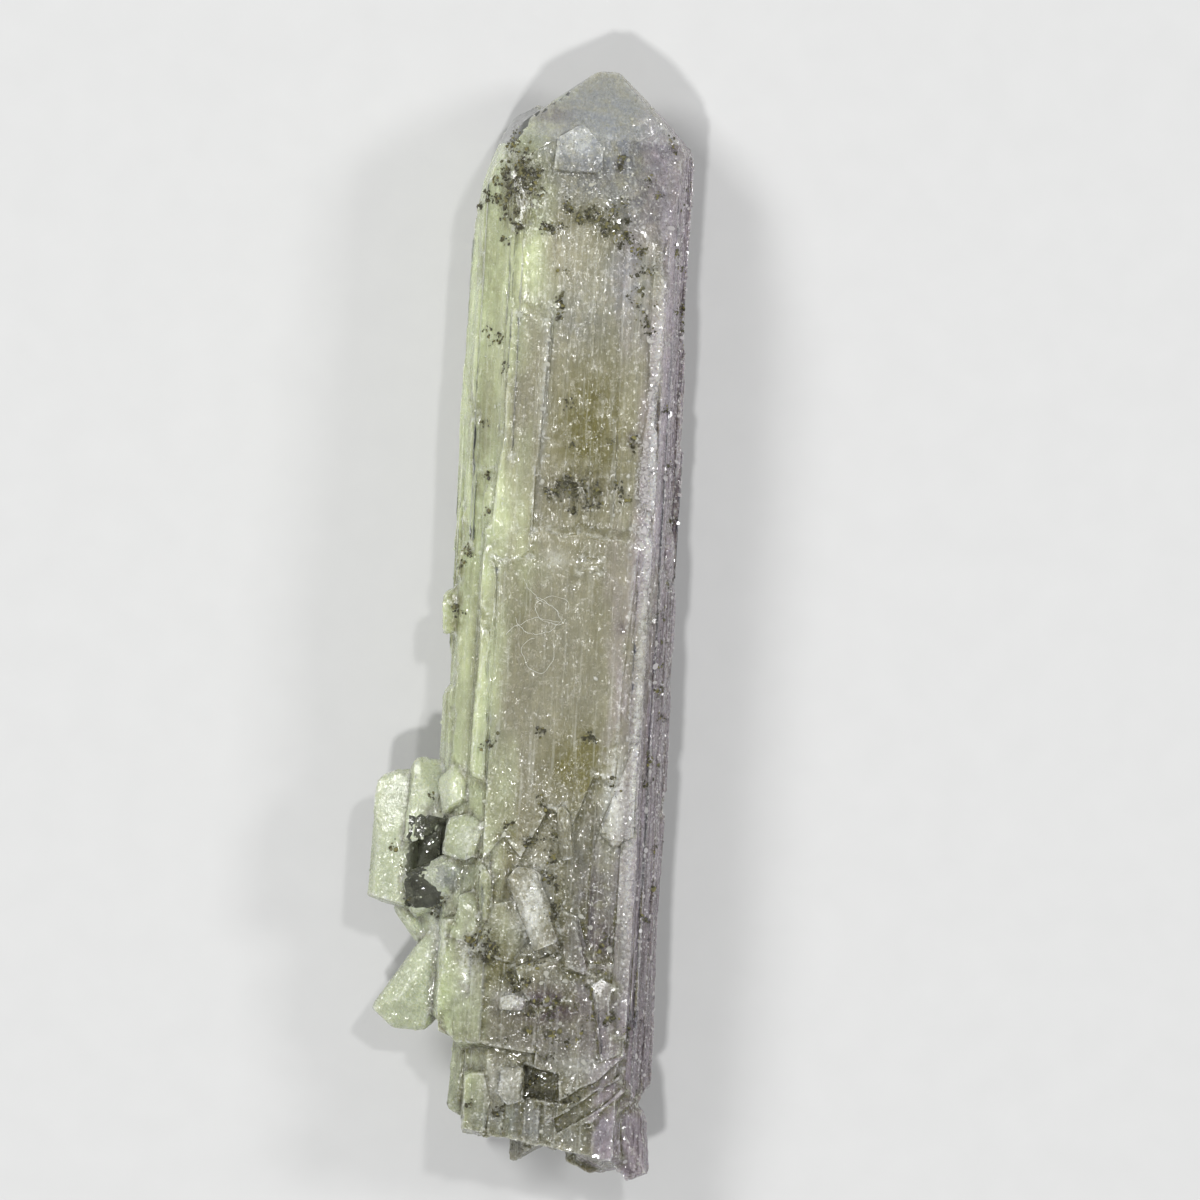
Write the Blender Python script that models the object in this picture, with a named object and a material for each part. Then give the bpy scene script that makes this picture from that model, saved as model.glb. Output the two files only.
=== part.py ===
"""Danburite crystal: one broken-off prism with a chisel tip, lying on its flat back face.

The prism runs along Y with its tip at +Y, and the side that carries the small crystals faces up.
Everything here grew together, so the prism, its ledges and the small crystals are fused in one solid.
Blender 4.5 script, metres, +Z up. Sizes below are written in millimetres and scaled once by MM.
"""

import math
import random

import bmesh
import bpy
from mathutils import Matrix, Vector

MM = 0.001

# Driving dimensions, in millimetres. Y is counted from the middle of the prism until the end.
TIP_Y = 33.4            # top of the chisel tip
SPUR_Y = -33.2          # lowest point of the broken foot
LEFT_X = -6.8           # left wall of the prism
RIGHT_X = 6.15          # right wall of the prism above the side rib
FRONT_Z = 9.6           # the upper, broad front face
BACK_Z = 0.0            # the flat back face that it lies on
SHOULDER_Y = 30.75      # top of the smaller parallel crystal beside the tip
ROOT_FRONT_Z = 9.0      # front of the narrower root below the snapped-off outer layer
LAYER_LOW_Z = 8.0       # how deep the raised layers reach into the prism
SPARE = 1.0             # how much longer a rough prism is made before its end is cut
MID_Z = 5.0             # middle of the prism, where the upright cuts are set out

RIB_WIDTH = 1.1         # mean width of one growth rib on a prism face
RIB_DEPTH = 0.16        # deepest groove between two ribs
RIB_EDGE = 0.07         # run of the small slope between two ribs
RIB_ROOT = 0.7          # how deep a short rib is sunk into the wall that it grew on
PRISM_ANGLE = 47.4      # half of the angle between two prism faces of the mineral, in degrees
JOG_RUN = 0.8           # length of one step of a ragged ledge that crosses the prism
JOG_RUN_ALONG = 4.0     # the same for a ledge that runs with the prism

PALE_CRYSTAL = (0.56, 0.57, 0.45, 1.0)

# The prism's section seen from the tip, as X and Z corners, starting with the face it lies on.
STEM_CORNERS = (
    (-4.3, BACK_Z), (3.5, BACK_Z), (6.0, 3.3), (RIGHT_X, 5.6), (4.75, 9.3),
    (-3.7, FRONT_Z), (-6.3, 7.4), (LEFT_X, 5.2), (-6.35, 2.6),
)
SHOULDER_CORNERS = (
    (-6.2, 3.3), (-3.4, 2.4), (-1.7, 4.4), (-2.2, 8.9), (-3.7, 9.85), (-6.1, 7.75), (-6.95, 5.5),
)
ROOT_CORNERS = (
    (-3.9, 0.35), (3.6, 0.3), (5.8, 3.2), (5.95, 5.6), (4.6, 8.9),
    (-3.2, ROOT_FRONT_Z), (-4.6, 7.2), (-4.78, 3.4),
)
# The splinters of the broken foot: X and Z corners, lowest Y, and how the break leans in X and Z.
FOOT_SPLINTERS = (
    (((-4.7, 3.5), (-3.6, 0.7), (-1.3, 0.5), (-1.2, 4.3), (-3.9, 6.1)), -31.1, (0.40, 0.25)),
    (((-4.5, 5.9), (-1.3, 4.1), (-0.8, 8.8), (-3.2, 8.9), (-4.5, 7.2)), -30.9, (-0.25, -0.35)),
    (((-1.5, 0.6), (1.8, 0.4), (2.1, 4.7), (-0.6, 5.1), (-1.6, 3.6)), -32.3, (0.20, -0.55)),
    (((-1.1, 4.7), (2.7, 4.3), (2.9, 8.7), (-0.9, 8.8)), -31.5, (0.30, 0.40)),
    (((1.6, 0.4), (3.5, 0.4), (5.7, 3.2), (4.6, 5.3), (1.8, 4.7)), -32.6, (-0.35, -0.45)),
    (((2.3, 4.4), (5.7, 3.6), (5.8, 5.5), (4.5, 8.7), (2.6, 8.6)), -32.9, (0.30, 0.25)),
)
# Sides of the section that carry short ribs, by the index of their first corner, and how many.
RIBBED_SIDES = ((1, 4), (2, 3), (3, 4), (5, 3), (6, 3), (7, 4), (8, 4))
# Long edges that are chipped, as X and Z a little outside the solid, so that each nick is open.
CHIPPED_EDGES = ((5.2, 9.9), (6.8, 5.6), (-4.95, 10.1), (-6.8, 7.3))
CHIPS_PER_EDGE = 5
CHIPS_FROM_Y = -11.0    # below it the small crystals make the edges rough enough
CHIP_SPACING = 7.5      # along Y
CUTTER_RISE = 1.5       # how far the cutters of the hollows stand above the front
MERGE_RADIUS = 0.002    # points closer than this are one point after the joins


def new_collection(name):
    collection = bpy.data.collections.new(name)
    bpy.context.scene.collection.children.link(collection)
    return collection


def cut(bm, point, normal):
    """Cuts along a plane, drops what lies on the side its normal points to, and closes the cut."""
    geometry = bm.verts[:] + bm.edges[:] + bm.faces[:]
    bmesh.ops.bisect_plane(
        bm, geom=geometry, plane_co=Vector(point), plane_no=Vector(normal).normalized(),
        clear_outer=True,
    )
    open_edges = [edge for edge in bm.edges if edge.is_boundary]
    bmesh.ops.holes_fill(bm, edges=open_edges, sides=0)


def line_cut(bm, start, end, lean=0.0):
    """Cuts along the line from start to end in the XY plane, dropping what lies to its right.

    lean tips the face: a positive one makes it face up as well as sideways.
    """
    along = Vector((end[0] - start[0], end[1] - start[1], 0.0)).normalized()
    outward = Vector((along.y, -along.x, lean))
    cut(bm, (start[0], start[1], MID_Z), outward)


def ribbed(corners, seed, smooth_sides=()):
    """The section's corners with each long side broken into flat ribs and shallow grooves."""
    rng = random.Random(seed)
    points = []
    for index, corner in enumerate(corners):
        start = Vector(corner)
        side = Vector(corners[(index + 1) % len(corners)]) - start
        inward = Vector((-side.y, side.x)).normalized()
        count = max(1, round(side.length / RIB_WIDTH))
        points.append(start)
        if index in smooth_sides or count == 1:
            continue
        bounds = [0.0]
        bounds += [(step + rng.uniform(-0.3, 0.3)) / count for step in range(1, count)]
        bounds.append(1.0)
        slope = RIB_EDGE / side.length
        for rib in range(count):
            groove = inward * rng.uniform(0.1, 1.0) * RIB_DEPTH * (rib % 2 or rng.random() > 0.5)
            for share in (bounds[rib] + slope, bounds[rib + 1] - slope):
                points.append(start + side * share + groove)
    return points


def ragged(outline, seed, jog):
    """The outline with its sides broken into short runs, coarse across the prism, fine along it."""
    rng = random.Random(seed)
    points = []
    for index, corner in enumerate(outline):
        start = Vector(corner)
        side = Vector(outline[(index + 1) % len(outline)]) - start
        across = abs(side.x) / side.length
        count = max(1, round(side.length / (JOG_RUN * across + JOG_RUN_ALONG * (1 - across))))
        outward = Vector((side.y, -side.x)).normalized()
        points.append(start)
        for step in range(1, count):
            share = (step + rng.uniform(-0.3, 0.3)) / count
            points.append(start + side * share + outward * rng.uniform(-jog, jog) * (0.35 + across))
    return points


def prism(corners, y_low, y_high):
    """A bmesh prism along Y with the given X and Z corners."""
    bm = bmesh.new()
    ring = [bm.verts.new((x, y_low, z)) for x, z in corners]
    floor = bm.faces.new(ring)
    made = bmesh.ops.extrude_face_region(bm, geom=[floor])
    moved = [item for item in made["geom"] if isinstance(item, bmesh.types.BMVert)]
    bmesh.ops.translate(bm, vec=(0.0, y_high - y_low, 0.0), verts=moved)
    return bm


def finish_solid(bm, name, collection):
    """Turns a bmesh into a hidden object, still in millimetres, for the joins and cuts."""
    bmesh.ops.recalc_face_normals(bm, faces=bm.faces[:])
    mesh = bpy.data.meshes.new(name)
    bm.to_mesh(mesh)
    bm.free()
    obj = bpy.data.objects.new(name, mesh)
    obj.hide_render = True
    obj.display_type = "WIRE"
    collection.objects.link(obj)
    return obj


def crystal(size, centre, turn, tip=(48, 40), wedge=55, foot=(14, -10), bevel=0.62):
    """One small crystal as a bmesh: a bevelled lozenge prism with a chisel tip and a broken foot.

    size is width, length and thickness. turn is its lean in degrees: about Z, then its roll about
    its own length, then its pitch. tip holds the slopes of the tip's right and left faces, wedge
    that of its front and back faces, and foot the tilt of the break. bevel is the share of the
    corners that the prism faces leave.
    """
    width, length, thickness = size
    bm = bmesh.new()
    bmesh.ops.create_cube(bm, size=1.0)
    bmesh.ops.scale(bm, vec=(width, length, thickness), verts=bm.verts[:])
    lean = math.radians(PRISM_ANGLE)
    reach = bevel * (math.sin(lean) * width + math.cos(lean) * thickness) / 2
    for side in (-1, 1):
        for face in (-1, 1):
            normal = Vector((side * math.sin(lean), 0.0, face * math.cos(lean)))
            cut(bm, normal * max(reach, 0.28 * min(width, thickness)), normal)
    top = Vector((0.0, length / 2, 0.0))
    for slope, side in zip(tip, (1, -1)):
        angle = math.radians(slope)
        cut(bm, top, (side * math.sin(angle), math.cos(angle), 0.0))
    angle = math.radians(wedge)
    for face in (-1, 1):
        ridge = top + Vector((0.0, 0.0, face * 0.12 * thickness))
        cut(bm, ridge, (0.0, math.cos(angle), face * math.sin(angle)))
    tilt_x, tilt_z = (math.radians(value) for value in foot)
    cut(bm, (0.0, -0.46 * length, 0.0), (math.sin(tilt_x), -math.cos(tilt_x), math.sin(tilt_z)))
    yaw, roll, pitch = (math.radians(value) for value in turn)
    place = (
        Matrix.Translation(Vector(centre)) @ Matrix.Rotation(yaw, 4, "Z")
        @ Matrix.Rotation(pitch, 4, "X") @ Matrix.Rotation(roll, 4, "Y")
    )
    bmesh.ops.transform(bm, matrix=place, verts=bm.verts[:])
    return bm


def slab(outline, z_low, z_high, slope=0.25, jog=0.12):
    """A raised layer: an XY outline made ragged by jog, whose walls draw in by slope as they rise."""
    bm = bmesh.new()
    ring = [bm.verts.new((x, y, z_low)) for x, y in ragged(outline, len(outline), jog)]
    base = bm.faces.new(ring)
    made = bmesh.ops.extrude_face_region(bm, geom=[base])
    moved = [item for item in made["geom"] if isinstance(item, bmesh.types.BMVert)]
    middle = sum((vert.co for vert in moved), Vector()) / len(moved)
    for vert in moved:
        pull = (middle - vert.co).normalized() * slope
        vert.co += Vector((pull.x, pull.y, z_high - z_low))
    return bm


def stem():
    """The main prism: ribbed walls, a chisel tip and a slanting break at its lower end."""
    bm = prism(ribbed(STEM_CORNERS, seed=4, smooth_sides=(0,)), -30.0, TIP_Y + SPARE)
    line_cut(bm, (6.15, 28.6), (1.5, 33.3), lean=0.10)
    line_cut(bm, (0.0, 33.3), (-3.23, 30.95), lean=0.06)
    line_cut(bm, (-3.2, 30.9), (-5.3, 28.5), lean=-0.1)
    line_cut(bm, (-5.2, 28.6), (-6.25, 26.2), lean=0.12)
    cut(bm, (0.6, TIP_Y, 5.0), (0.0, 1.0, 0.04))
    cut(bm, (0.0, TIP_Y, 5.6), (0.05, 0.60, 0.80))
    cut(bm, (0.0, 29.4, 8.55), (0.03, 0.20, 0.98))
    cut(bm, (1.6, 29.3, 8.45), (0.16, 0.40, 0.90))
    cut(bm, (-1.6, 29.9, 8.35), (-0.14, 0.44, 0.89))
    cut(bm, (2.0, 29.0, 8.6), (0.45, 0.25, 0.86))
    cut(bm, (0.0, TIP_Y, 4.7), (-0.04, 0.70, -0.71))
    cut(bm, (0.0, 29.0, 1.0), (0.05, 0.22, -0.97))
    line_cut(bm, (-6.6, -23.9), (-4.4, -26.1))
    line_cut(bm, (-4.6, -26.05), (1.3, -26.75), lean=0.2)
    line_cut(bm, (1.2, -28.9), (5.5, -25.7), lean=0.25)
    return bm


def shoulder():
    """The parallel crystal left of the tip, which stops lower and stands a little forward."""
    bm = prism(ribbed(SHOULDER_CORNERS, seed=10), 9.0, SHOULDER_Y + SPARE)
    line_cut(bm, (-1.6, 30.4), (-3.46, SHOULDER_Y), lean=0.25)
    line_cut(bm, (-3.46, SHOULDER_Y), (-4.63, 30.09), lean=0.2)
    line_cut(bm, (-4.63, 30.09), (-5.4, 28.84), lean=0.15)
    line_cut(bm, (-5.4, 28.84), (-6.4, 26.4), lean=0.1)
    line_cut(bm, (-6.4, 26.4), (-6.95, 23.5), lean=0.1)
    cut(bm, (-3.0, SHOULDER_Y, 6.6), (0.06, 0.50, 0.86))
    cut(bm, (-3.0, 26.8, 9.05), (-0.02, 0.16, 0.98))
    cut(bm, (-3.0, 9.4, 9.4), (0.1, -0.5, 0.9))
    return bm


def root():
    """The narrower root below the break, as far as all its splinters reach."""
    bm = prism(ribbed(ROOT_CORNERS, seed=15, smooth_sides=(0,)), SPUR_Y - SPARE, -21.0)
    line_cut(bm, (-5.0, -29.6), (6.5, -31.4), lean=-0.2)
    return bm


def splinters():
    """The splintery broken foot: side by side pieces, each snapped at its own height and slant."""
    pieces = {}
    for index, (corners, y_low, (lean_x, lean_z)) in enumerate(FOOT_SPLINTERS):
        bm = prism(corners, y_low - 4.0, -25.0)
        middle = sum((Vector(corner) for corner in corners), Vector((0.0, 0.0))) / len(corners)
        cut(bm, (middle.x, y_low + 0.6, middle.y), (lean_x, -1.0, lean_z))
        cut(bm, (middle.x, y_low + 0.5, middle.y), (-lean_z, -0.8, 0.8 * lean_x))
        pieces["splinter_%d" % (index + 1)] = bm
    return pieces


def layers():
    """Raised growth layers on the front, each ending in a ledge that the photograph shows."""
    low = LAYER_LOW_Z
    return {
        "layer_upper_left": slab(
            [(-4.7, 3.6), (-2.35, 3.6), (-2.0, 9.2), (-1.62, 18.6), (-4.35, 18.9)],
            low, FRONT_Z + 0.17, slope=0.3),
        "layer_lower": slab(
            [(-4.3, -14.6), (-3.0, -13.0), (-1.9, -14.3), (-0.3, -11.2), (1.2, -12.2), (2.4, -9.0),
             (3.6, -9.8), (4.4, 5.3), (1.2, 5.75), (-3.6, 5.95), (-4.4, 4.9)],
            low, FRONT_Z + 0.15, slope=0.3),
        "rib_left": slab(
            [(-5.25, -9.6), (-4.2, -9.9), (-4.15, 6.2), (-5.1, 6.0)],
            7.2, FRONT_Z + 0.12, slope=0.4),
        "tile": slab(
            [(0.7, 3.2), (2.0, 3.35), (1.95, 4.05), (0.75, 4.15)],
            low, FRONT_Z + 0.26, slope=0.1),
        "crest_right_upper": slab(
            [(3.9, 7.2), (5.0, 6.8), (5.05, 21.0), (4.1, 22.0)],
            7.9, FRONT_Z, slope=0.35),
        "crest_right_lower": slab(
            [(4.0, -24.6), (5.1, -24.9), (5.05, 5.7), (4.2, 5.8)],
            7.6, FRONT_Z + 0.1, slope=0.4),
        "plate_right": slab(
            [(4.95, -5.9), (4.9, -12.6), (3.7, -13.3), (2.5, -12.4), (3.5, -9.4)],
            7.8, FRONT_Z + 0.38, slope=0.25),
        "plate_break_edge": slab(
            [(0.35, -29.0), (3.5, -27.3), (5.2, -25.6), (4.6, -20.0), (-0.4, -20.0), (-0.5, -27.9)],
            7.4, FRONT_Z - 0.12, slope=0.2),
        "plate_foot_right": slab(
            [(1.4, -29.9), (3.3, -30.0), (5.4, -27.6), (5.0, -26.4), (3.4, -27.7), (1.2, -29.2)],
            7.4, ROOT_FRONT_Z + 0.05, slope=0.4),
        "plate_foot_left": slab(
            [(-4.6, -30.8), (-2.9, -30.9), (-2.4, -28.7), (-3.3, -26.6), (-4.7, -26.9)],
            5.6, ROOT_FRONT_Z + 0.12, slope=0.4),
    }


def side_ribs():
    """Long ribs and chips on the two walls and the back, which step the outline."""
    wall_right = [(4.6, 4.4), (6.45, 4.6), (6.66, 5.7), (5.55, 8.1), (4.6, 8.3)]
    wall_right_low = [(3.8, 2.0), (5.3, 2.1), (6.35, 3.7), (6.5, 4.9), (4.4, 5.4)]
    wall_left = [(-6.2, 3.2), (-6.75, 3.9), (-7.02, 5.3), (-6.6, 6.9), (-5.6, 7.4)]
    back_left = [(-5.2, 0.6), (-4.3, 0.12), (-3.4, 0.4), (-3.6, 1.6), (-5.4, 2.0)]
    ribs = {
        "rib_right": prism(ribbed(wall_right, seed=24), -30.0, 4.0),
        "rib_right_low": prism(ribbed(wall_right_low, seed=22), -24.0, 13.0),
        "rib_left_low": prism(ribbed(wall_left, seed=23), -10.5, -3.0),
        "rib_back": prism(back_left, -12.0, 17.0),
    }
    line_cut(ribs["rib_right"], (6.8, 2.2), (4.4, 4.6))
    line_cut(ribs["rib_right"], (5.3, -28.6), (6.9, -27.2))
    line_cut(ribs["rib_right_low"], (6.6, 11.0), (4.6, 12.8), lean=-0.3)
    line_cut(ribs["rib_right_low"], (4.2, -23.6), (6.7, -21.0), lean=-0.2)
    line_cut(ribs["rib_left_low"], (-5.8, -3.2), (-7.2, -4.4))
    line_cut(ribs["rib_left_low"], (-7.2, -8.6), (-5.8, -10.2))
    line_cut(ribs["rib_back"], (-3.2, 16.4), (-5.4, 14.2), lean=-0.4)
    return ribs


def wall_crystals():
    """Small crystals on the prism's walls and at the foot, seen mostly from the sides."""
    return {
        "block_left": crystal((1.5, 2.9, 1.7), (-6.68, 0.55, 6.0), (2, 0, 0),
                              tip=(12, 34), bevel=0.9),
        "chip_right": crystal((1.1, 3.3, 1.6), (5.75, 4.4, 5.8), (-2, 20, 0),
                              tip=(30, 20), bevel=0.8),
        "spur_foot": crystal((2.5, 7.6, 3.4), (5.2, -29.4, 6.1), (186, 12, 4),
                             tip=(56, 20), wedge=68),
        "spur_foot_back": crystal((3.0, 6.0, 3.0), (2.7, -28.6, 3.6), (176, -20, -4), tip=(40, 46)),
        "wall_right_high": crystal((1.5, 7.0, 1.9), (5.4, 17.6, 4.3), (1, -25, 1), tip=(36, 48)),
        "wall_right_mid": crystal((1.4, 4.6, 1.5), (5.9, -8.0, 3.6), (-4, 30, -3), tip=(42, 36)),
        "wall_left_high": crystal((1.4, 8.4, 2.0), (-6.0, 14.5, 4.0), (1, 24, 0), tip=(44, 38)),
        "wall_left_mid": crystal((1.5, 5.2, 1.6), (-6.1, 3.5, 3.3), (3, 18, 2), tip=(38, 50)),
        "wall_left_foot": crystal((1.8, 6.6, 2.4), (-4.5, -26.6, 4.9), (178, 10, 0), tip=(28, 40)),
    }


def growth_ribs():
    """Short ribs scattered along the walls, each sunk into its wall and ending in slanted steps."""
    rng = random.Random(31)
    ribs = {}
    for side, count in RIBBED_SIDES:
        start = Vector(STEM_CORNERS[side])
        wall = Vector(STEM_CORNERS[(side + 1) % len(STEM_CORNERS)]) - start
        along = wall.normalized()
        outward = Vector((along.y, -along.x))
        for number in range(count):
            middle = start + wall * rng.uniform(0.15, 0.85)
            half = along * rng.uniform(0.16, 0.42)
            rise = outward * rng.uniform(0.10, 0.26)
            sink = outward * -RIB_ROOT
            corners = (middle - half * 1.3 + sink, middle + half * 1.3 + sink,
                       middle + half + rise, middle - half + rise)
            length = rng.uniform(4.0, 17.0)
            y_low = rng.uniform(-27.0, 25.0 - length)
            bm = prism(corners, y_low, y_low + length)
            for y_end, along_y in ((y_low, -1), (y_low + length, 1)):
                slant = rng.uniform(0.5, 1.6)
                tip = (middle.x + rise.x, y_end - 0.3 * along_y, middle.y + rise.y)
                cut(bm, tip, (outward.x * slant, along_y, outward.y * slant))
            ribs["rib_%d_%d" % (side, number)] = bm
    return ribs


def edge_chips():
    """Cutters that nick the prism's long edges, where small splinters have flaked off."""
    rng = random.Random(77)
    chips = {}
    for edge, (x, z) in enumerate(CHIPPED_EDGES):
        for number in range(CHIPS_PER_EDGE):
            size = (rng.uniform(0.9, 1.3), rng.uniform(0.8, 2.6), rng.uniform(0.8, 1.2))
            y = CHIPS_FROM_Y + CHIP_SPACING * (number + rng.random())
            turn = (rng.uniform(-25, 25), rng.uniform(-90, 90), rng.uniform(-12, 12))
            chips["chip_%d_%d" % (edge, number)] = crystal(size, (x, y, z), turn, bevel=0.8)
    return chips


def cluster_crystals():
    """The spray of small crystals on the left wall, from the tall one down to the big blade."""
    return {
        "tall_prism": crystal((2.6, 8.5, 2.6), (-9.5, -13.35, 5.7), (-1.5, -16, 2),
                              tip=(10, 26), wedge=76, foot=(-10, 12), bevel=0.78),
        "tall_prism_twin": crystal((2.0, 5.4, 2.2), (-7.95, -10.95, 6.3), (-6, 20, -4),
                                   tip=(32, 18), wedge=70, foot=(30, 6), bevel=0.8),
        "bridge_block": crystal((2.8, 3.6, 2.4), (-6.9, -10.7, 6.0), (8, 10, 0),
                                tip=(14, 30), wedge=72, foot=(12, 14), bevel=0.86),
        "bridge_knob": crystal((1.9, 2.7, 2.0), (-5.95, -10.2, 7.5), (14, -38, 0),
                               tip=(34, 30), wedge=60, foot=(24, 18), bevel=0.8),
        "pale_block": crystal((2.5, 2.7, 2.0), (-5.15, -12.9, 8.1), (-8, -34, 6),
                              tip=(20, 22), wedge=70, foot=(16, -22), bevel=0.84),
        "clear_back": crystal((2.4, 5.6, 2.2), (-7.5, -13.9, 4.2), (-14, 0, 0), tip=(40, 34)),
        "grey_plate": crystal((2.7, 5.7, 1.3), (-6.4, -15.6, 7.2), (-60, 10, 24),
                              tip=(38, 30), wedge=74, foot=(-18, 10), bevel=0.8),
        "small_blade": crystal((1.25, 3.2, 1.3), (-8.2, -18.2, 4.6), (218, 20, 0),
                               tip=(24, 30), foot=(20, 10)),
        "blade_root": crystal((2.2, 4.0, 2.0), (-6.7, -18.3, 4.7), (200, 0, 0), tip=(40, 20)),
        "big_blade": crystal((3.6, 8.6, 2.1), (-6.7, -21.2, 4.7), (147, -14, -4),
                             tip=(9, 32), wedge=68, foot=(26, 20), bevel=0.74),
    }


def front_crystals():
    """Small crystals lying on the lower front face."""
    return {
        "front_blade": crystal((1.9, 5.2, 1.5), (-0.95, -16.85, 9.75), (24, 8, -4),
                               tip=(34, 30), wedge=66, foot=(18, -24), bevel=0.74),
        "front_blade_foot": crystal((1.5, 2.6, 1.2), (0.0, -18.6, 9.6), (206, -12, -3),
                                    tip=(40, 26), wedge=62),
        "front_spike": crystal((0.8, 3.4, 0.9), (0.72, -12.35, 9.8), (9, 14, 2),
                               tip=(62, 30), wedge=70, bevel=0.7),
        "front_block_left": crystal((1.9, 3.2, 1.6), (-4.6, -17.6, 8.5), (-12, -24, 6),
                                    tip=(30, 34), wedge=68, bevel=0.84),
        "front_lens": crystal((0.95, 3.3, 1.1), (-3.85, -16.3, 9.35), (4, -14, 2),
                              tip=(52, 50), wedge=66, bevel=0.66),
        "glassy_mass": crystal((1.8, 4.2, 1.4), (1.35, -19.0, 9.3), (17, 10, 3),
                               tip=(34, 38), wedge=64, foot=(-30, 20), bevel=0.74),
        "front_wedge": crystal((3.0, 4.2, 1.5), (-2.6, -18.4, 9.12), (-22, -8, 8),
                               tip=(44, 38), wedge=70, foot=(8, 20), bevel=0.78),
        "front_chip": crystal((1.6, 1.05, 0.8), (-1.85, -22.65, 9.75), (-6, 4, 0),
                              tip=(14, 20), wedge=60, bevel=0.8),
        "front_plate": crystal((3.0, 3.6, 1.2), (0.3, -21.3, 9.2), (-70, 8, -3),
                               tip=(26, 32), wedge=72, bevel=0.88),
        "left_flank": crystal((2.5, 8.0, 3.2), (-4.95, -21.2, 7.3), (180, 20, -2),
                              tip=(20, 14), wedge=74, foot=(10, 10), bevel=0.8),
        "flake_foot": crystal((1.5, 2.4, 0.9), (-1.75, -27.7, 9.0), (174, 14, 8),
                              tip=(46, 20), wedge=74, bevel=0.9),
        "ledge_right": crystal((1.9, 5.0, 1.2), (3.75, -23.4, 9.3), (8, -12, 2),
                               tip=(40, 30), wedge=72),
    }


def tip_crystals():
    """The low pointed facet that stands proud on the sloping front of the tip."""
    return {
        "tip_facet": crystal((2.9, 3.2, 1.6), (-0.7, 28.5, 8.7), (-4, 3, -14),
                             tip=(44, 38), wedge=88, foot=(4, 10), bevel=0.95),
    }


def hollows():
    """What is missing: the sunken upper panel, the square pit, notches and gaps between layers."""
    top = FRONT_Z + 0.2
    clear = top + CUTTER_RISE
    return {
        "panel": slab(
            [(-1.95, 5.95), (3.9, 5.8), (4.0, 15.0), (2.2, 18.2), (-1.45, 17.2)],
            top - 0.36, clear, slope=-0.3),
        "pit": slab(
            [(-0.9, -28.4), (1.15, -28.6), (1.05, -26.85), (-0.95, -26.45)],
            7.6, clear, slope=-0.12),
        "groove": slab(
            [(1.2, -30.4), (4.6, -27.9), (5.3, -26.9), (4.8, -27.0), (1.0, -29.5)],
            8.5, clear, slope=-0.3),
        "recess": slab(
            [(-7.4, -7.2), (-5.35, -7.4), (-5.25, 1.6), (-5.5, 4.8), (-7.4, 4.6)],
            8.15, clear, slope=-0.1),
        "notch_right": crystal((1.4, 1.5, 14.0), (6.75, -28.35, MID_Z), (38, 0, 0),
                               tip=(20, 20), bevel=1.4),
        "notch_back": crystal((3.2, 5.0, 2.4), (5.6, -19.6, 0.9), (14, 26, 6), tip=(40, 30)),
        "dip_back": crystal((4.2, 4.4, 1.5), (-5.9, 8.0, 0.7), (-20, -34, 0), tip=(34, 44)),
    }


def crystal_material():
    material = bpy.data.materials.new("cloudy_danburite")
    material.use_nodes = True
    shader = material.node_tree.nodes["Principled BSDF"]
    shader.inputs["Base Color"].default_value = PALE_CRYSTAL
    shader.inputs["Roughness"].default_value = 0.28
    shader.inputs["Metallic"].default_value = 0.0
    return material


def add_booleans(obj, operation, collection):
    """One Boolean modifier for each object of the collection, in order.

    Every operand is closed. The exact solver drops the ribbed prism whole when the shoulder joins
    it, so the manifold solver does the joins.
    """
    for operand in collection.objects:
        modifier = obj.modifiers.new(operand.name, "BOOLEAN")
        modifier.operation = operation
        modifier.object = operand
        modifier.solver = "MANIFOLD"


def fused(obj):
    """The object's evaluated mesh, with the loose doubles that the joins leave merged."""
    bpy.context.view_layer.update()
    graph = bpy.context.evaluated_depsgraph_get()
    mesh = bpy.data.meshes.new_from_object(obj.evaluated_get(graph))
    bm = bmesh.new()
    bm.from_mesh(mesh)
    bmesh.ops.remove_doubles(bm, verts=bm.verts[:], dist=MERGE_RADIUS)
    bmesh.ops.dissolve_degenerate(bm, dist=MERGE_RADIUS, edges=bm.edges[:])
    bm.to_mesh(mesh)
    bm.free()
    return mesh


def rest_on_floor(mesh):
    """Moves the mesh so that its box is centred on the origin and its lowest point is at zero."""
    points = [vert.co for vert in mesh.vertices]
    low = Vector(min(point[axis] for point in points) for axis in range(3))
    high = Vector(max(point[axis] for point in points) for axis in range(3))
    middle = (low + high) / 2
    mesh.transform(Matrix.Translation((-middle.x, -middle.y, -low.z)))
    mesh.transform(Matrix.Scale(MM, 4))


def build():
    for obj in list(bpy.data.objects):
        bpy.data.objects.remove(obj)
    specimen = new_collection("danburite")
    growths = new_collection("growths")
    cutters = new_collection("cutters")
    growths.hide_render = True
    cutters.hide_render = True

    body = finish_solid(stem(), "danburite_crystal", specimen)
    pieces = {"shoulder": shoulder(), "root": root()}
    for group in (splinters, layers, side_ribs, growth_ribs, wall_crystals, cluster_crystals,
                  front_crystals, tip_crystals):
        pieces.update(group())
    for name, bm in pieces.items():
        finish_solid(bm, name, growths)
    for group in (hollows, edge_chips):
        for name, bm in group().items():
            finish_solid(bm, name, cutters)

    add_booleans(body, "UNION", growths)
    add_booleans(body, "DIFFERENCE", cutters)
    mesh = fused(body)
    rest_on_floor(mesh)
    body.modifiers.clear()
    body.data = mesh
    body.hide_render = False
    body.display_type = "SOLID"
    mesh.materials.clear()
    mesh.materials.append(crystal_material())


build()
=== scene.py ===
"""Finish of a danburite crystal: worn and finely ribbed surface, grains, flakes, threads and stage.

The file is laid out as an add-on and run as a script. Lengths in the settings are in metres, and
places on the crystal are written in millimetres of its own frame: +Y towards the tip, +Z up.
"""

import math
import random

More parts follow.
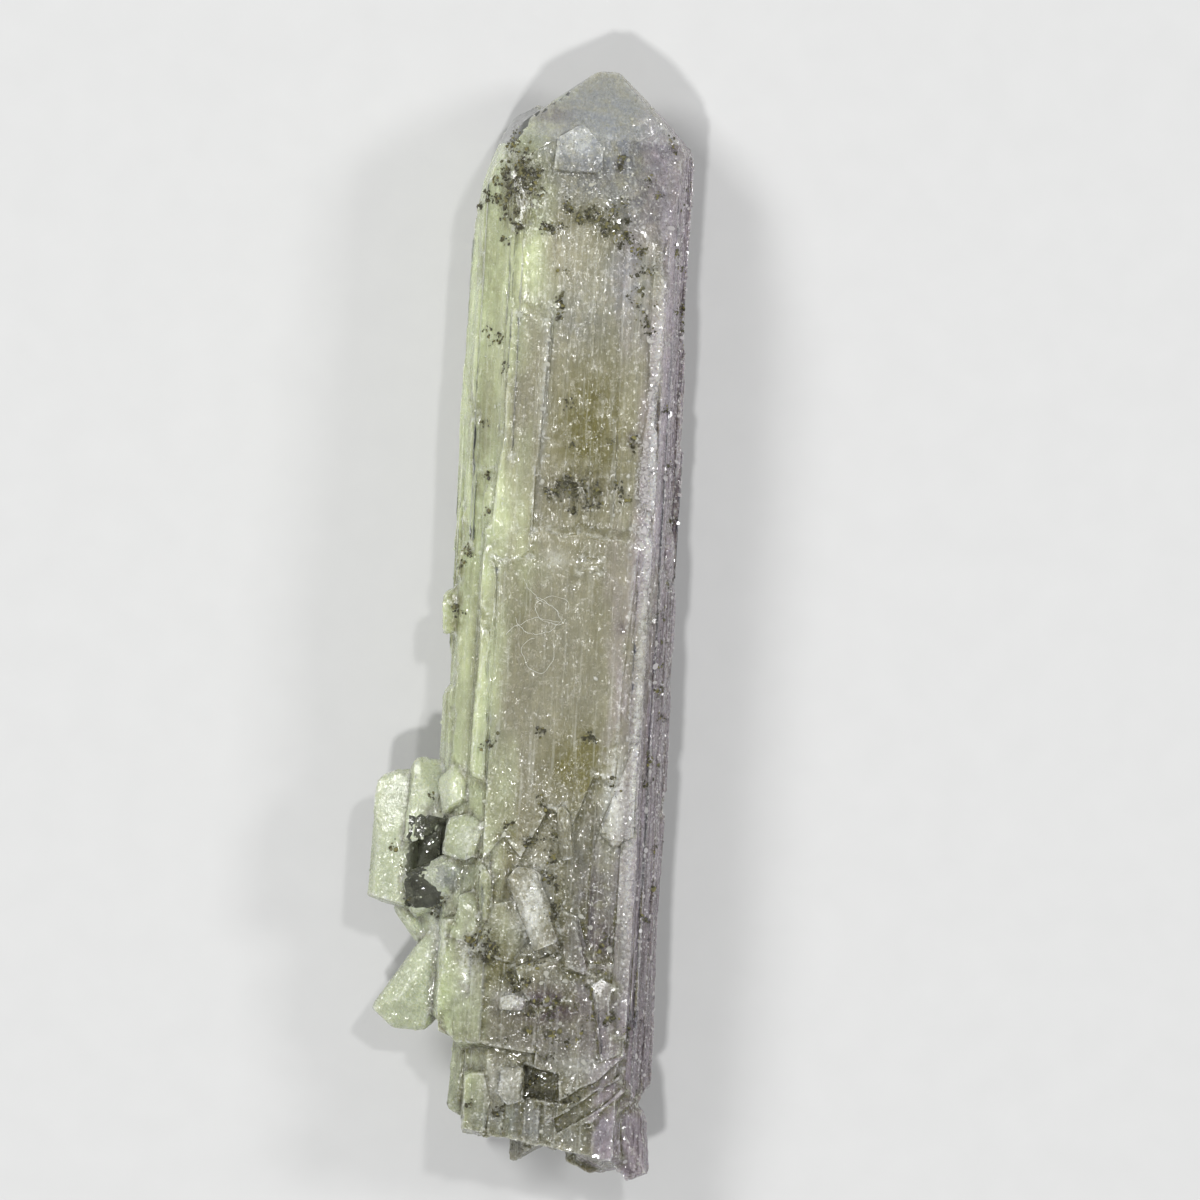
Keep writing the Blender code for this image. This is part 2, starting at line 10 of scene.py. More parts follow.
import bmesh
import bpy
import numpy as np
from bpy.props import FloatProperty, FloatVectorProperty, IntProperty, PointerProperty
from mathutils import Matrix, Vector, noise
from mathutils.bvhtree import BVHTree


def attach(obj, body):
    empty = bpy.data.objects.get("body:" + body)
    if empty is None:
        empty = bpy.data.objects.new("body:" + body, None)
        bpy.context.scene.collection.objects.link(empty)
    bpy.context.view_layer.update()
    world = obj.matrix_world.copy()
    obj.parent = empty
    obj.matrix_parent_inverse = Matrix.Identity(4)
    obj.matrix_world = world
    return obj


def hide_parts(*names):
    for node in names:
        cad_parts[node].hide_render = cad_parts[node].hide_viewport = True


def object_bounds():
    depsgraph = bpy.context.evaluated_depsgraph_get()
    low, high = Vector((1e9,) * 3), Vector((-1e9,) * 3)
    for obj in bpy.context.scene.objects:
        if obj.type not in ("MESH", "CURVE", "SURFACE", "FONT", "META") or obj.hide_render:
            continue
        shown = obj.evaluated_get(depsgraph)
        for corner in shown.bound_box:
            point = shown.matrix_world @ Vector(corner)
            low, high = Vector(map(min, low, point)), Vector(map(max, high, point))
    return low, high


bl_info = {
    "name": "Danburite Crystal Finish",
    "version": (1, 0, 0),
    "blender": (4, 5, 0),
    "location": "View3D > Sidebar > Danburite",
    "description": "Dresses the danburite crystal with its worn surface, grains and materials",
    "category": "Add Mesh",
}

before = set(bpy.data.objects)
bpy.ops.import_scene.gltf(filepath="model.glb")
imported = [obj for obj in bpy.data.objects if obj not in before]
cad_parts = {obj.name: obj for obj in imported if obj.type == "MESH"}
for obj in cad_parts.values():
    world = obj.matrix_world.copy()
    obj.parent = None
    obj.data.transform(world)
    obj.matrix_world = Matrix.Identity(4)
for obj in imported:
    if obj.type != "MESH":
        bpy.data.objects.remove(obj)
CAD_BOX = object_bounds()
NODE = "danburite_crystal"
BODY = "root"
MM = 0.001

# The middle of the photograph's frame on the crystal, and how far the prism leans in it.
VIEW_X = 4.09
VIEW_Y = 1.51
VIEW_Z = 7.0
VIEW_LEAN = 3.2

# Ochre stains on the front: X, Y, half width, half height in mm, and strength.
OCHRE = (
    (2.9, 11.6, 2.4, 5.0, 1.25),
    (3.2, 16.8, 2.0, 2.4, 0.45),
    (1.9, 24.4, 1.6, 0.8, 0.7),
    (3.5, 23.4, 1.2, 1.3, 0.6),
    (-1.9, 25.4, 1.7, 2.5, 0.9),
    (-3.4, 20.5, 0.8, 3.4, 0.5),
    (3.6, -8.5, 2.0, 2.2, 1.7),
    (-0.6, 0.5, 0.8, 4.0, 0.35),
    (-4.5, 1.0, 0.6, 5.0, 0.9),
    (-5.0, -4.5, 0.5, 3.0, 0.7),
    (2.4, -10.8, 2.4, 1.4, 0.4),
    (0.0, -13.5, 2.6, 3.0, 0.4),
    (2.2, -17.2, 1.0, 2.4, 1.0),
    (-1.2, -20.4, 2.2, 1.4, 1.0),
    (1.8, -23.6, 2.6, 1.6, 0.6),
    (-2.6, -25.4, 1.8, 1.4, 0.45),
    (-5.2, -12.6, 0.7, 1.0, 0.6),
    (-3.4, 10.0, 0.6, 6.0, 0.65),
    (-3.3, -1.0, 0.5, 5.0, 0.30),
    (-3.9, 3.4, 0.6, 2.4, 0.45),
    (-4.6, -13.6, 1.2, 2.4, 0.35),
    (-0.2, 5.0, 0.4, 2.0, 0.35),
    (4.2, 1.5, 0.9, 4.5, 0.25),
)
# Olive haze of the finest dust, in the same form.
OLIVE = (
    (-2.0, 25.8, 1.2, 2.1, 1.7),
    (-3.9, 25.4, 0.9, 1.4, 0.5),
    (0.0, 23.6, 1.0, 0.7, 0.4),
    (1.7, 24.6, 1.3, 0.6, 0.55),
    (3.3, 24.2, 1.0, 0.8, 0.55),
    (2.2, 8.0, 2.0, 1.2, 1.0),
    (-1.7, -19.9, 1.4, 0.9, 1.2),
    (0.1, -21.3, 0.9, 0.6, 1.3),
    (1.9, -15.0, 0.8, 0.6, 0.9),
    (2.0, -27.6, 1.4, 1.3, 1.0),
    (2.5, -16.4, 0.7, 2.0, 0.5),
)
# Painted shade, purple brown and blue grey, lying as if under the surface, on the lower front, the tip's
# facets and the right wall, in the same form.
SHADOWS = (
    (2.2, -22.9, 2.4, 1.1, 1.5),
    (5.0, -19.2, 1.2, 2.4, 1.1),
    (4.6, -16.4, 0.9, 2.2, 0.8),
    (2.9, -19.2, 0.7, 1.4, 0.7),
    (2.6, -24.6, 2.8, 1.8, 0.5),
    (5.5, 11.2, 0.3, 0.45, 1.0),
    (5.5, -0.1, 0.35, 0.35, 0.9),
    (7.0, 29.0, 0.3, 0.4, 0.9),
    (3.8, 27.6, 0.4, 0.7, 0.6),
    (6.1, 26.7, 0.35, 0.5, 0.6),
    (5.6, 25.2, 1.4, 2.6, 0.45),
    (5.4, 28.4, 1.4, 1.3, 0.45),
    (2.6, 27.0, 1.6, 0.9, 0.3),
    (8.0, -4.0, 0.9, 7.0, 0.5),
    (8.0, -20.0, 0.9, 7.0, 0.5),
    (2.2, 8.0, 1.8, 0.9, 0.5),
    (-0.4, 30.4, 1.2, 0.7, 0.9),
    (3.2, -29.6, 1.2, 0.4, 0.4),
)
# Patches of clear grey, in the same form.
GREYS = (
    (2.6, 29.4, 4.6, 4.2, 1.3),
    (4.6, 25.4, 2.2, 2.6, 0.9),
    (4.6, 20.5, 1.8, 4.0, 0.7),
    (2.4, 18.0, 2.2, 2.6, 0.6),
    (4.6, -18.0, 2.6, 7.0, 0.5),
    (2.4, -24.6, 3.4, 2.4, 0.5),
    (2.0, -30.0, 4.0, 1.6, 0.7),
    (-5.3, -14.6, 0.9, 2.6, 0.8),
    (-4.0, -15.6, 1.3, 1.4, 1.0),
)
# Milk-white patches and painted highlights, in the same form: the two long rows on the right ridge paint
# its glints white.
MILKY_AND_HIGHLIGHTS = (
    (1.4, 28.7, 1.3, 0.9, 0.7),
    (-3.4, 27.9, 0.9, 1.6, 0.3),
    (-3.0, -13.0, 1.0, 1.0, 0.6),
    (-3.9, -10.4, 0.9, 1.0, 0.4),
    (1.1, -17.0, 0.9, 2.3, 1.0),
    (-2.6, -20.6, 0.7, 2.2, 0.6),
    (-4.4, -18.8, 0.5, 2.0, 0.5),
    (0.1, -22.7, 0.8, 0.5, 1.0),
    (-0.1, -27.6, 1.1, 1.0, 0.55),
    (5.6, -10.4, 0.7, 2.5, 0.9),
    (1.3, 3.8, 0.6, 0.5, 0.5),
    # Painted highlight: the glints along the right ridge.
    (6.75, 9.0, 0.30, 13.0, 0.95),
    (6.7, -9.0, 0.30, 12.0, 0.85),
    (0.1, 14.0, 0.22, 4.5, 0.6),
    (4.6, -26.4, 1.4, 0.6, 0.4),
)
# Patches of dark grains: X, Y, half width, half height in mm, and how many grains.
GRAIN_PATCHES = (
    (-2.5, 25.9, 1.3, 2.3, 372),
    (-1.7, 27.2, 0.8, 1.0, 90),
    (-2.6, 28.3, 0.35, 0.9, 42),
    (-4.0, 25.3, 0.7, 1.1, 66),
    (-0.3, 23.5, 1.2, 0.45, 78),
    (1.6, 24.6, 1.3, 0.5, 114),
    (3.5, 24.3, 0.8, 0.8, 90),
    (2.6, 23.9, 0.8, 0.7, 54),
    (4.4, 23.0, 0.9, 1.0, 72),
    (5.3, 21.6, 0.7, 1.2, 48),
    (5.9, 19.2, 0.6, 2.2, 48),
    (0.8, 20.2, 0.35, 2.6, 54),
    (3.8, 27.6, 0.3, 0.55, 30),
    (6.1, 26.6, 0.3, 0.45, 30),
    (7.0, 29.0, 0.22, 0.3, 16),
    (3.4, 20.5, 2.4, 2.6, 36),
    (-2.4, 17.0, 1.2, 6.0, 24),
    (7.9, 20.0, 0.5, 7.0, 114),
    (8.1, 2.0, 0.5, 12.0, 126),
    (7.6, -16.0, 0.6, 8.0, 66),
    (-2.9, 9.5, 0.4, 4.0, 36),
    (-3.9, 3.6, 0.5, 1.8, 30),
    (1.0, 8.0, 0.5, 1.2, 24),
    (2.1, 7.9, 1.7, 1.1, 190),
    (3.5, 8.1, 0.25, 0.4, 40),
    (3.6, 11.6, 2.2, 3.6, 54),
    (5.0, 8.4, 0.5, 1.0, 24),
    (5.5, 11.2, 0.2, 0.3, 20),
    (1.0, -6.7, 0.2, 0.4, 18),
    (3.4, -6.7, 1.3, 0.15, 36),
    (-2.0, -7.5, 0.7, 0.3, 18),
    (5.4, -9.4, 0.6, 0.8, 14),
    (1.2, -12.6, 2.0, 3.2, 132),
    (-1.7, -19.9, 1.1, 0.8, 156),
    (0.2, -21.4, 0.7, 0.5, 78),
    (1.0, -20.2, 0.4, 0.3, 30),
    (2.4, -17.2, 0.25, 1.6, 66),
    (2.2, -15.3, 0.3, 0.5, 30),
    (5.2, -19.4, 1.0, 2.6, 72),
    (2.6, -23.0, 2.4, 0.8, 78),
    (2.6, -24.9, 2.6, 1.3, 132),
    (-4.6, 2.5, 0.4, 2.6, 40),
    (-3.3, 19.0, 0.3, 3.0, 30),
    (5.2, -23.6, 0.9, 1.8, 48),
    (2.0, -27.7, 0.8, 0.8, 66),
    (3.6, -28.2, 0.9, 0.4, 24),
    (-0.6, -29.2, 1.6, 0.6, 30),
    (-5.0, -17.0, 1.2, 0.8, 36),
    (-5.0, -12.0, 0.8, 1.2, 18),
    (-7.2, -14.0, 0.5, 2.4, 18),
)
# Patches of glittering flakes, in the same form.
FLAKE_PATCHES = (
    (6.5, 12.0, 0.35, 5.5, 150),
    (6.2, 9.0, 0.5, 2.6, 120),
    (6.6, -14.0, 0.3, 6.0, 90),
    (6.8, 1.0, 0.25, 6.0, 50),
    (0.2, 13.6, 0.15, 4.0, 40),
    (3.4, -20.4, 1.6, 2.2, 60),
    (4.6, -26.6, 1.4, 1.2, 60),
    (-4.3, -14.0, 1.0, 3.0, 40),
    (-1.0, 24.6, 1.4, 1.6, 40),
    (3.0, 27.0, 2.6, 2.0, 50),
    (-6.6, -11.5, 0.6, 2.6, 40),
)
# Fine white threads on the lower front: X, Y, length, first direction in degrees, and turn.
THREADS = (
    (2.2, 0.8, 5.4, 95, 330),
    (1.5, -1.3, 5.2, -60, -290),
    (-0.5, 2.5, 2.2, -60, 35),
    (-1.4, -0.9, 3.6, 55, -80),
    (0.2, 1.4, 2.4, -10, -60),
    (1.8, 0.1, 2.0, -120, -70),
    (-0.9, 0.2, 1.6, -70, 60),
)
PATCHES = {"ochre": OCHRE, "olive": OLIVE, "shadow": SHADOWS, "grey": GREYS, "milky_and_highlight": MILKY_AND_HIGHLIGHTS}
# A patch ends at twice its half width, where the squared distance is four.
PATCH_END = 4.0

# Boxes on the crystal in mm: least X, Y, Z, then most X, Y, Z.
FAR = 100.0
WALL_X = 7.0
SEAM_BOX = ((-2.9, -9.9, 8.3), (-1.95, 6.2, FAR))
GAP_BOX = ((5.65, -11.5, 9.0), (6.5, 5.6, FAR))
WALL_BOX = ((WALL_X, -23.5, 6.0), (8.3, 23.5, FAR))
SPRAY_BOX = ((-FAR, -27.0, -FAR), (-4.3, -7.5, FAR))
TIP_BOX = ((-FAR, 29.0, 2.0), (FAR, FAR, FAR))
CAP_BOX = ((-4.6, 28.6, -FAR), (1.6, FAR, FAR))
DARK_CRYSTAL_BOX = ((-6.6, -17.5, -FAR), (-4.4, -12.0, 7.6))
# How high the seam and the gap are filled, in mm, and the slope that fills the step of the wall.
SEAM_TOP = 9.66
GAP_TOP = 9.62
WALL_TOP = 9.45
WALL_FALL = 1.9
WALL_LIFT = 0.6
# The clear cap's facets face left: the most X of their normals.
CAP_FACING = -0.25

# Corners nearer than this are joined. Edges above this share of the longest are halved together.
MERGE_DISTANCE = 0.0005 * MM
LONG_SHARE = 0.6
# How a triangle is divided, as numbers of its corners (0 to 2) and of the middles of the edges that
# follow them (3 to 5): first edge cut, only the first edge whole (two ways), and all edges cut.
ONE_CUT = ((0, 3, 2), (3, 1, 2))
TWO_CUTS = ((4, 2, 5), (1, 4, 5), (1, 5, 0)), ((4, 2, 5), (1, 4, 0), (4, 5, 0))
THREE_CUTS = ((0, 3, 5), (3, 1, 4), (4, 2, 5), (3, 4, 5))
# The least length that a vector is divided by.
TINY = 1e-20
# The angle in radians at which a crease begins, and how much more makes it fully sharp.
CREASE_START = 0.25
CREASE_RANGE = 0.65
# How much of the grime and painted shade of a crevice its neighbours share.
CREVICE_SPREAD = 0.6
# Softening: where the lower end and the tip begin in mm, over what length they stiffen and how much,
# and how far a hollow point and a bulging one move each time.
LOWER_START = -9.0
TIP_START = 25.0
STIFF_LENGTH = 2.0
STIFFNESS = 0.88
HOLLOW_STEP = 0.8
BULGE_STEP = 0.2
# Points below this height rest on the floor and stay. Edges sharper than this angle stay crisp.
RESTING_HEIGHT = 0.02 * MM
SHARP_ANGLE = 24

# Fine relief: how often per mm a pattern changes across and along the prism, and its shares.
RIBS = (3.4, 0.10)
FINE_RIBS = (8.0, 0.22)
RIB_SHARE = 0.65
FINE_RIB_SHARE = 0.35
TERRACES = (0.55, 0.11, 7.3)
TERRACE_STEPS = 2.6
TERRACE_EDGE = (0.86, 1.0)
WOBBLE_SCALE = 1.7
WOBBLE_SHARE = 0.12
GRAIN_SCALE = 2.3
FINE_GRAIN_SCALE = 5.1
FINE_GRAIN_SHARE = 0.6
CHIP_SCALE = 1.05
CHIP_RANGE = (0.0, 0.5)
LEAST_CHIP = 0.25
# Parts of a normal: Y where a wall turns into an end, Z where a face turns upwards.
WALL_TURN = (0.12, 0.5)
UPWARD_TURN = (-0.2, 0.5)
FRONT_TURN = (0.1, 0.5)
# Rough zones: where each begins and where it is full, in mm, and how rough it is.
LOWER_ZONE, LOWER_ROUGHNESS = (-7.0, -15.0), 0.38
RIGHT_ZONE, RIGHT_ROUGHNESS = (WALL_X, 7.7), 0.95
RIDGE_X, RIDGE_ZONE = 6.75, (0.7, 0.15)
FOOT_ZONE = (-27.5, -30.0)
TIP_ZONE, TIP_ZONE_X, TIP_ROUGHNESS = (22.0, 25.0), (-0.8, 1.0), 0.4
LEAST_ROUGHNESS = 0.04
ROUGHNESS_RANGE = 0.9

# A ray that looks for the surface starts this high, in metres.
RAY_START = 0.03
GRAIN_SEED, FLAKE_SEED = 12, 5
# Grains gather in clumps: grains in one, spread of the clumps as a share of the patch, and spread of
# the grains about their clump in mm, across and along.
CLUMP_GRAINS = 12
CLUMP_SPREAD = 0.55
GRAIN_SPREAD = (0.16, 0.19)
# Random sizes as the mean and deviation of their logarithm, proportions, and how deep a piece sits.
GRAIN_SIZES, GRAIN_PROPORTIONS, GRAIN_SINK = (-0.15, 0.45), (0.5, 1.25), 0.25
FLAKE_SIZES, FLAKE_WIDTHS, FLAKE_HEIGHTS, FLAKE_SINK = (-0.1, 0.4), (0.6, 1.6), (0.2, 0.6), 0.1
FLAKE_LEAN = 0.4
FLAKE_SPREAD = 0.7
# How likely a flake is anywhere, on a worn edge and in a zone rougher than the last value.
PLAIN_CHANCE, WORN_CHANCE, ROUGH_CHANCE, ROUGH_START = 0.03, 0.5, 0.8, 0.3
# At most two flakes share a cell of this size, and none sits below this height.
FLAKE_CELL = 0.35 * MM
FLAKES_PER_CELL = 2
FLAKE_FLOOR = 0.5 * MM
# Threads: radius and height above the surface in mm, steps, and how they waver in degrees.
THREAD_RADIUS = 0.010
THREAD_LIFT = 0.012
THREAD_STEPS = 28
WAVER = 28
WAVER_PACE, SLOW_WAVER_PACE, WAVER_START = 0.8, 0.31, 5

# Lamps: name, place, size in metres and power in watts. All point at one place.
LIGHTS = (
    ("key_softbox", (-0.32, 0.20, 0.40), 0.16, 1.7),
    ("right_softbox", (0.36, 0.10, 0.30), 0.10, 0.8),
    ("glint_lamp", (-0.06, -0.20, 0.46), 0.03, 1.2),
    ("second_glint_lamp", (0.12, 0.14, 0.48), 0.03, 0.6),
)
LIGHT_TARGET = Vector((0, 0, 0.005))
ROOM_COLOUR, ROOM_STRENGTH = (0.85, 0.87, 0.9), 0.30
FLOOR_DARK, FLOOR_PALE = (0.50, 0.50, 0.495), (0.53, 0.53, 0.525)

# Danburite's index of refraction, its glaze, and how far red, green and blue light wanders inside.
REFRACTION = 1.63
GLAZE_ROUGHNESS = 0.06
WANDER = (1.0, 0.95, 0.75)
# Colours of clear danburite and of the clouds in it: beside the tip, and behind the spray, where the dark
# colours are painted shade seen through the clear crystal.
CAP_COLOUR, CAP_CLOUD = (0.66, 0.68, 0.66), (0.40, 0.40, 0.36)
DARK_COLOUR, DARK_CLOUD = (0.34, 0.35, 0.27), (0.10, 0.10, 0.06)
# Sizes of the etched facets in mm.
FINE_FACET, COARSE_FACET, GRAIN_FACET, FLAKE_FACET = 0.11, 0.27, 0.22, 0.2
# Height of the fine facets as a share of the coarse ones', shares of milk, and the dulling. The flakes'
# share of milk partly paints their glints.
FINE_FACET_SHARE, HALF_CLEAR_MILK, FLAKE_MILK, HALF_CLEAR_DULLING = 0.4, 0.22, 0.4, 1.3

# The Mix node's colour sockets share their names with others, so they go by number.
MIX_FACTOR, MIX_FIRST, MIX_SECOND, MIX_RESULT = 0, 6, 7, 2
COLOUR_LABELS = ("Left", "Middle", "Right", "Grey", "Ochre", "Olive", "Shadow", "Grain", "Milk")
TINT_LABELS = COLOUR_LABELS[:3]
WHITE = (1.0, 1.0, 1.0, 1.0)
# Layers over the tint, the lowest first: mark on the surface, pattern, where the pattern begins to
# show and where it is full, how much it covers at most, and the colour.
UNDER_LAYERS = (
    ("grey", "soft", 0.24, 0.56, 0.85, "Grey"),
    ("ochre", "soft", 0.22, 0.54, 0.9, "Ochre"),
    ("shadow", "soft", 0.26, 0.48, 0.9, "Shadow"),
    ("olive", "fine", 0.30, 0.58, 0.75, "Olive"),
)
# Layers over the crease grime with its painted shade and over the painted shade of the wall's streaks, in
# the same form. One without a mark covers everything.
UPPER_LAYERS = (
    ("olive", "dust", 0.54, 0.62, 0.8, "Grain"),
    ("rough_zone", "dust", 0.62, 0.70, 0.45, "Olive"),
    ("milky_and_highlight", "fine", 0.26, 0.54, 0.8, "Milk"),
    (None, "lines", 0.54, 0.74, 0.24, "Milk"),
    # Milk on the sharp outward edges: partly real worn edges, partly painted highlight along them.
    ("edge_wear_and_highlight", "fine", 0.42, 0.68, 0.7, "Milk"),
    # White flecks in the rough zones, partly painted glints.
    ("rough_zone", "flecks", 0.92, 0.99, 0.4, "Milk"),
)


def length_property(name, default, description):
    return FloatProperty(name=name, default=default, unit="LENGTH", description=description)


def colour_property(name, default, description):
    return FloatVectorProperty(
        name=name, subtype="COLOR", size=3, default=default, description=description)


class BodySettings(bpy.types.PropertyGroup):
    """Sizes of the crystal's fine surface."""

    edge_length: length_property(
        "Edge length", 0.52 * MM, "Longest edge of the finely divided surface")
    under_length: length_property(
        "Underside edge length", 1.1 * MM, "Longest edge of the surface near the floor")
    under_height: length_property(
        "Underside height", 3.2 * MM, "Below this height the surface is divided less finely")
    rib_height: length_property(
        "Rib height", 0.055 * MM, "Height of the fine ribs that run along the prism")
    terrace_height: length_property(
        "Terrace height", 0.05 * MM, "Height of one growth step on a prism face")
    grain_height: length_property(
        "Grain height", 0.05 * MM, "Height of the grainy relief of the rough zones")
    chip_depth: length_property("Chip depth", 0.14 * MM, "Deepest wear of the sharp edges")
    smoothing: IntProperty(
        name="Smoothing", default=7, min=0,
        description="How often hollows are filled and edges rounded before the fine relief")


class ColourSettings(bpy.types.PropertyGroup):
    """Colours of the crystal."""

    # Left, Middle and Right are partly the crystal's own tone and partly painted light: greenish light on
    # the lit left wall, lilac light and deeper shade on the right wall.
    left: colour_property("Left", (0.60, 0.665, 0.40), "Greenish yellow of the left wall")
    middle: colour_property("Middle", (0.315, 0.30, 0.205), "Beige grey of the broad front face")
    right: colour_property("Right", (0.40, 0.345, 0.38), "Lilac grey of the right wall")
    grey: colour_property("Grey", (0.215, 0.232, 0.255), "Clear grey of the tip and the lower end")
    ochre: colour_property("Ochre", (0.160, 0.145, 0.048), "Ochre of the stains under the surface")
    olive: colour_property("Olive", (0.105, 0.100, 0.045), "Olive of the finest dust")
    # Shadow is the colour of painted shade, in the shade patches and the streaks of the right wall.
    shadow: colour_property(
        "Shadow", (0.10, 0.075, 0.075), "Purple brown of the shadows under the surface")
    grain: colour_property("Grain", (0.034, 0.031, 0.014), "Green black of the grains")
    # Milk is partly the white of worn edges and partly painted highlight: the glints of the right ridge,
    # of sharp edges, of white flecks and of the flakes.
    milk: colour_property("Milk", (0.80, 0.81, 0.76), "White of worn edges, flakes and threads")


class GrainSettings(bpy.types.PropertyGroup):
    """Sizes and numbers of the small things on the crystal."""

    grain_size: length_property("Grain size", 0.085 * MM, "Mean radius of one dark grain")
    flake_size: length_property("Flake size", 0.095 * MM, "Mean radius of one glassy flake")
    flake_count: IntProperty(
        name="Flakes", default=1900, min=0,
        description="How many glassy flakes are tried on the edges and rough zones")


class StageSettings(bpy.types.PropertyGroup):
    """The floor and the camera."""

    view_width: length_property(
        "View width", 72.0 * MM, "Width of the photograph's frame at the crystal")
    camera_distance: length_property(
        "Camera distance", 0.6, "From the lens to the crystal's front face")
    floor_size: length_property("Floor size", 6.0, "Side of the square floor")


def smooth_step(value, low, high):
    """0 at low, 1 at high, and smooth between them. low may be the larger one."""
    share = min(1.0, max(0.0, (value - low) / (high - low)))
    return share * share * (3 - 2 * share)


def patch_strength(patches, x, y):
    """How strongly a point lies in any of the soft elliptical patches."""
    strongest = 0.0
    for centre_x, centre_y, half_x, half_y, strength in patches:
        away = ((x - centre_x) / half_x) ** 2 + ((y - centre_y) / half_y) ** 2
        if away < PATCH_END:
            strongest = max(strongest, strength * math.exp(-away))
    return strongest


def inside(places, box):
    """Which of the places lie inside a box. Both are in millimetres."""
    least, most = np.array(box)
    return ((places > least) & (places < most)).all(axis=1)


def merged_copy():
    """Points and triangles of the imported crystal, whose loose triangles are joined at their corners."""
    bm = bmesh.new()
    bm.from_mesh(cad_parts[NODE].data)
    bmesh.ops.remove_doubles(bm, verts=bm.verts[:], dist=MERGE_DISTANCE)
    bmesh.ops.triangulate(bm, faces=bm.faces[:])
    bm.verts.index_update()
    points = np.array([vert.co[:] for vert in bm.verts])
    faces = np.array([[vert.index for vert in face.verts] for face in bm.faces])
    bm.free()
    return points, faces


def edges_of(faces):
    """Every edge once as a pair of points, and for each face the numbers of its three edges."""
    ends = np.stack([faces, np.roll(faces, -1, axis=1)], axis=2).reshape(-1, 2)
    pairs, index = np.unique(np.sort(ends, axis=1), axis=0, return_inverse=True)
    return pairs, index.reshape(-1, 3)


def turned(faces, cut, chosen, wanted):
    """Corners and edge middles of the chosen faces, turned so that their one wanted edge is first."""
    first = np.argmax(wanted(cut[chosen]), axis=1)
    order = (first[:, None] + np.arange(3)) % 3
    return np.hstack([np.take_along_axis(part[chosen], order, axis=1) for part in (faces, cut)])


def split_faces(points, faces, cut):
    """Splits each triangle at the middles of its cut edges. cut holds -1 for an edge left whole."""
    count = (cut >= 0).sum(axis=1)
    one = turned(faces, cut, count == 1, lambda edges: edges >= 0)
    two = turned(faces, cut, count == 2, lambda edges: edges < 0)
    three = np.hstack([faces, cut])[count == 3]
    falling = np.linalg.norm(points[two[:, 1]] - points[two[:, 5]], axis=1)
    rising = np.linalg.norm(points[two[:, 4]] - points[two[:, 0]], axis=1)
    shorter = (falling < rising)[:, None]
    return np.vstack([
        faces[count == 0],
        *(one[:, corners] for corners in ONE_CUT),
        *(np.where(shorter, two[:, fall], two[:, rise]) for fall, rise in zip(*TWO_CUTS)),
        *(three[:, corners] for corners in THREE_CUTS),
    ])


def refine(points, faces, settings):
    """Halves the long edges, the longest ones first, until none is longer than asked."""
    coarse = settings.edge_length / settings.under_length
    while True:
        pairs, index = edges_of(faces)
        ends = points[pairs]
        length = np.linalg.norm(ends[:, 0] - ends[:, 1], axis=1)
        length *= np.where(ends[:, :, 2].max(axis=1) < settings.under_height, coarse, 1.0)
        long = length > max(settings.edge_length, LONG_SHARE * length.max())
        if not long.any():
            return points, faces
        middle = np.full(len(pairs), -1)
        middle[long] = len(points) + np.arange(long.sum())
        points = np.vstack([points, points[pairs[long]].mean(axis=1)])
        faces = split_faces(points, faces, middle[index])


def face_normals(points, faces):
    """Normals of the triangles, each twice as long as its triangle is large."""
    first, second, third = points[faces[:, 0]], points[faces[:, 1]], points[faces[:, 2]]
    return np.cross(second - first, third - first)


def unit(vectors):
    return vectors / np.maximum(np.linalg.norm(vectors, axis=1, keepdims=True), TINY)


def point_normals(points, faces):
    """Normals of the points, each the sum of its faces' normals weighted by area."""
    total = np.zeros_like(points)
    normals = face_normals(points, faces)
    for axis in range(3):
        for corner in range(3):
            total[:, axis] += np.bincount(faces[:, corner], normals[:, axis], len(points))
    return unit(total)


def creases(points, faces):
    """How sharp the outward creases and the inward ones are at each point, from 0 to 1."""
    pairs, index = edges_of(faces)
    order = np.argsort(index.ravel(), kind="stable")
    sides = (order // 3).reshape(-1, 2)
    normals = unit(face_normals(points, faces))
    angle = np.arccos(np.clip((normals[sides[:, 0]] * normals[sides[:, 1]]).sum(axis=1), -1, 1))
    sharpness = np.clip((angle - CREASE_START) / CREASE_RANGE, 0, 1)
    across = points[faces[sides[:, 1]]].mean(axis=1) - points[pairs[:, 0]]
    outward = (normals[sides[:, 0]] * across).sum(axis=1) < 0
    found = []
    for chosen in (outward, ~outward):
        most = np.zeros(len(points))
        for side in range(2):
            np.maximum.at(most, pairs[:, side], np.where(chosen, sharpness, 0.0))
        found.append(most)
    return found


def spread(values, faces, share):
    """The values with each one raised to a share of its largest neighbour."""
    pairs, _index = edges_of(faces)
    wider = values.copy()
    np.maximum.at(wider, pairs[:, 0], share * values[pairs[:, 1]])
    np.maximum.at(wider, pairs[:, 1], share * values[pairs[:, 0]])
    return wider


def softened(points, faces, times):
    """The points after narrow grooves have been filled and sharp edges rounded a little.

    Each time a point moves towards the middle of its neighbours, far where the surface is hollow
    and a little where it bulges. The tip and the lower end, with the small crystals, hardly move.
    """
    pairs, _index = edges_of(faces)
    first, second = pairs.T
    size = len(points)
    count = np.bincount(first, minlength=size) + np.bincount(second, minlength=size)
    along = points[:, 1] / MM
    lower = np.clip((LOWER_START - along) / STIFF_LENGTH, 0, 1)
    upper = np.clip((along - TIP_START) / STIFF_LENGTH, 0, 1)
    loose = 1.0 - STIFFNESS * np.maximum(lower, upper)
    for _time in range(times):
        normals = point_normals(points, faces)
        middle = np.empty_like(points)
        for axis in range(3):
            middle[:, axis] = np.bincount(first, points[second, axis], size)
            middle[:, axis] += np.bincount(second, points[first, axis], size)
        away = middle / count[:, None] - points
        hollow = (away * normals).sum(axis=1) > 0
        points = points + away * (loose * np.where(hollow, HOLLOW_STEP, BULGE_STEP))[:, None]
    return points


